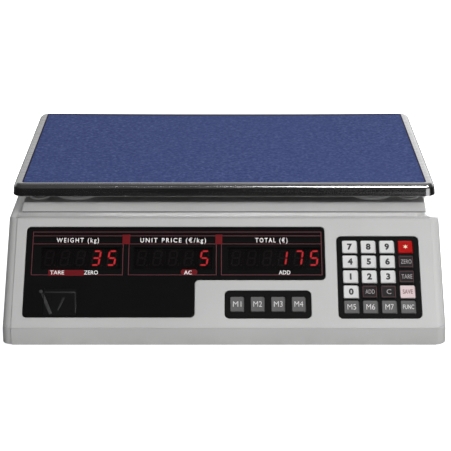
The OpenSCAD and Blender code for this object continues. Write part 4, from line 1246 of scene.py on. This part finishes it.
dress("display_board", [MAT["board"], MAT["chip"]], lambda c, n: 1 if into(PANEL, c).z < -12.55 else 0)
dress("key_boards", [MAT["board"], MAT["chip"]], lambda c, n: 1 if into(PANEL, c).z > -3.9 else 0)
dress("rear_board", [MAT["board"], MAT["chip"]], lambda c, n: 1 if into(REAR, c).z < -12.25 else 0)

# ---------------------------------------------------------------- floor, camera and light
bpy.ops.mesh.primitive_plane_add(size=14, location=(0, 0, 0))
floor = bpy.context.object
floor.name = "floor"
floor.data.materials.append(MAT["floor"])
floor.visible_glossy = False
floor.visible_diffuse = False
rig.stage(floor)

camera = bpy.data.objects.new("camera", bpy.data.cameras.new("camera"))
bpy.context.scene.collection.objects.link(camera)
camera.location = (0.0011, -1.4466, 0.5235)
camera.rotation_euler = (math.radians(71.82), 0, 0)
camera.data.lens = 140.06
camera.data.sensor_width = 36
camera.data.clip_start = 0.05
camera.data.clip_end = 40
bpy.context.scene.camera = camera


def lamp(name, place, aim, size, watts, glossy=False, diffuse=True, shape="RECTANGLE", spread=180):
    data = bpy.data.lights.new(name, "AREA")
    data.shape = shape
    data.spread = math.radians(spread)
    data.size, data.size_y = size
    data.energy = watts
    ob = bpy.data.objects.new(name, data)
    bpy.context.scene.collection.objects.link(ob)
    ob.location = place
    ob.rotation_euler = (Vector(aim) - Vector(place)).to_track_quat("-Z", "Y").to_euler()
    ob.visible_glossy, ob.visible_diffuse = glossy, diffuse
    return ob


lamp("key_light", (0.55, -1.13, 1.05), (0.05, -0.10, 0.06), (0.85, 0.85), 20)
lamp("key_glint", (0.545, -1.00, 1.03), (0.09, -0.09, 0.10), (0.84, 0.38), 11.5, True, False)
lamp("front_right_light", (1.5, -1.7, 0.55), (0.05, -0.12, 0.05), (0.9, 0.7), 5)
lamp("front_left_light", (-1.2, -1.2, 0.60), (0, -0.10, 0.05), (0.9, 0.7), 2)
lamp("front_low_light", (0.0, -1.9, 0.30), (0.0, -0.12, 0.05), (1.2, 0.4), 5)
lamp("side_light", (1.15, -0.20, 0.75), (0.10, -0.08, 0.08), (0.7, 0.6), 2)
lamp("back_light", (0.10, 1.3, 1.4), (0, 0.05, 0.08), (1.6, 0.8), 26)
# A slim lamp just above picks out the ledge between the panel and the plinth
for name, x, wide, watts, shape in (("ledge_light", 0.048, 0.335, 0.0039, "ELLIPSE"), ("ledge_fill", 0.0, 0.325, 0.0031, "RECTANGLE")):
    lamp(name, (x, -0.0853 - 0.12 * math.cos(math.radians(50)), 0.0857 + 0.12 * math.sin(math.radians(50))),
         (x, -0.0853, 0.0857), (wide, 0.0076), watts, shape=shape, spread=1.5)
lamp("right_ledge_light", (0.2262, -0.060, 0.224), (0.1700, -0.060, 0.085), (0.056, 0.008), 0.0075, spread=2)
lamp("left_ledge_light", (-0.2262, -0.060, 0.224), (-0.1700, -0.060, 0.085), (0.056, 0.008), 0.00036, spread=2)

world = bpy.data.worlds.new("studio")
bpy.context.scene.world = world
world.use_nodes = True
tree = world.node_tree
tree.nodes.clear()
link = tree.links.new


def w_add(kind, **settings):
    node = tree.nodes.new(kind)
    for key_name, value in settings.items():
        setattr(node, key_name, value)
    return node


def w_span(value, lo, hi, to_lo, to_hi):
    node = w_add("ShaderNodeMapRange", interpolation_type="SMOOTHSTEP")
    link(value, node.inputs[0])
    for i, v in enumerate((lo, hi, to_lo, to_hi), 1):
        node.inputs[i].default_value = v
    return node.outputs[0]


def w_maths(operation, a, b):
    node = w_add("ShaderNodeMath", operation=operation)
    link(a, node.inputs[0])
    link(b, node.inputs[1])
    return node.outputs[0]


# What reflections see: a wall behind the scale that brightens to the right, a dark room above and in front
w_path = w_add("ShaderNodeLightPath")
w_dir = w_add("ShaderNodeTexCoord")
w_xyz = w_add("ShaderNodeSeparateXYZ")
link(w_dir.outputs["Generated"], w_xyz.inputs[0])
w_x, w_y, w_z = (w_xyz.outputs[n] for n in "XYZ")
wall = w_maths("MULTIPLY", w_span(w_y, 0.10, 0.80, 0.0, 0.62), w_span(w_z, -0.10, 0.04, 0.10, 1.0))
wall = w_maths("MULTIPLY", wall, w_span(w_z, 0.40, 0.62, 1.0, 0.04))
wall = w_maths("MULTIPLY", wall, w_span(w_x, -0.20, 0.25, 0.82, 1.66))
table = w_maths("MULTIPLY", w_span(w_x, 0.17, 0.25, 0.0, 0.85), w_span(w_x, 0.72, 0.88, 1.0, 0.0))
table = w_maths("MULTIPLY", table, w_span(w_z, -0.05, 0.03, 1.0, 0.0))
table = w_maths("MULTIPLY", table, w_span(w_y, -0.2, 0.0, 1.0, 0.0))
room = w_span(w_z, -0.1, 0.3, 0.012, 0.055)
above = w_maths("MULTIPLY", w_span(w_z, 0.70, 0.93, 0.0, 0.22), w_span(w_y, -0.14, 0.04, 0.0, 1.0))
above = w_maths("MULTIPLY", above, w_span(w_x, -0.12, 0.08, 0.20, 1.0))
w_shine = w_maths("ADD", w_maths("ADD", w_maths("ADD", wall, table), above), room)
# What lights the surfaces: the same wall, softer, and the pale table below
w_soft = w_maths("MULTIPLY", w_span(w_y, -0.10, 0.80, 0.05, 0.28), w_span(w_z, -0.10, 0.04, 0.10, 1.0))
w_soft = w_maths("MULTIPLY", w_soft, w_span(w_x, -0.20, 0.25, 0.78, 1.6))
w_soft = w_maths("ADD", w_soft, w_span(w_z, -0.02, 0.0, 0.31, 0.0))
w_pick = w_add("ShaderNodeMix", data_type="FLOAT")
link(w_path.outputs["Is Diffuse Ray"], w_pick.inputs[0])
link(w_shine, w_pick.inputs[2])
link(w_soft, w_pick.inputs[3])
w_seen = w_add("ShaderNodeBackground")
w_lit = w_add("ShaderNodeBackground")
w_seen.inputs[0].default_value = w_lit.inputs[0].default_value = (1, 1, 1, 1)
link(w_pick.outputs[0], w_lit.inputs[1])
w_mix = w_add("ShaderNodeMixShader")
w_out = w_add("ShaderNodeOutputWorld")
link(w_path.outputs["Is Camera Ray"], w_mix.inputs[0])
link(w_lit.outputs[0], w_mix.inputs[1])
link(w_seen.outputs[0], w_mix.inputs[2])
link(w_mix.outputs[0], w_out.inputs[0])

bpy.context.scene.view_settings.view_transform = "Standard"
bpy.context.scene.view_settings.look = "None"

bpy.context.view_layer.update()
NOW_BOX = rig.bounds()
with open("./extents.json", "w") as out:
    json.dump({"cad": [list(v) for v in CAD_BOX], "visual": [list(v) for v in NOW_BOX]}, out)
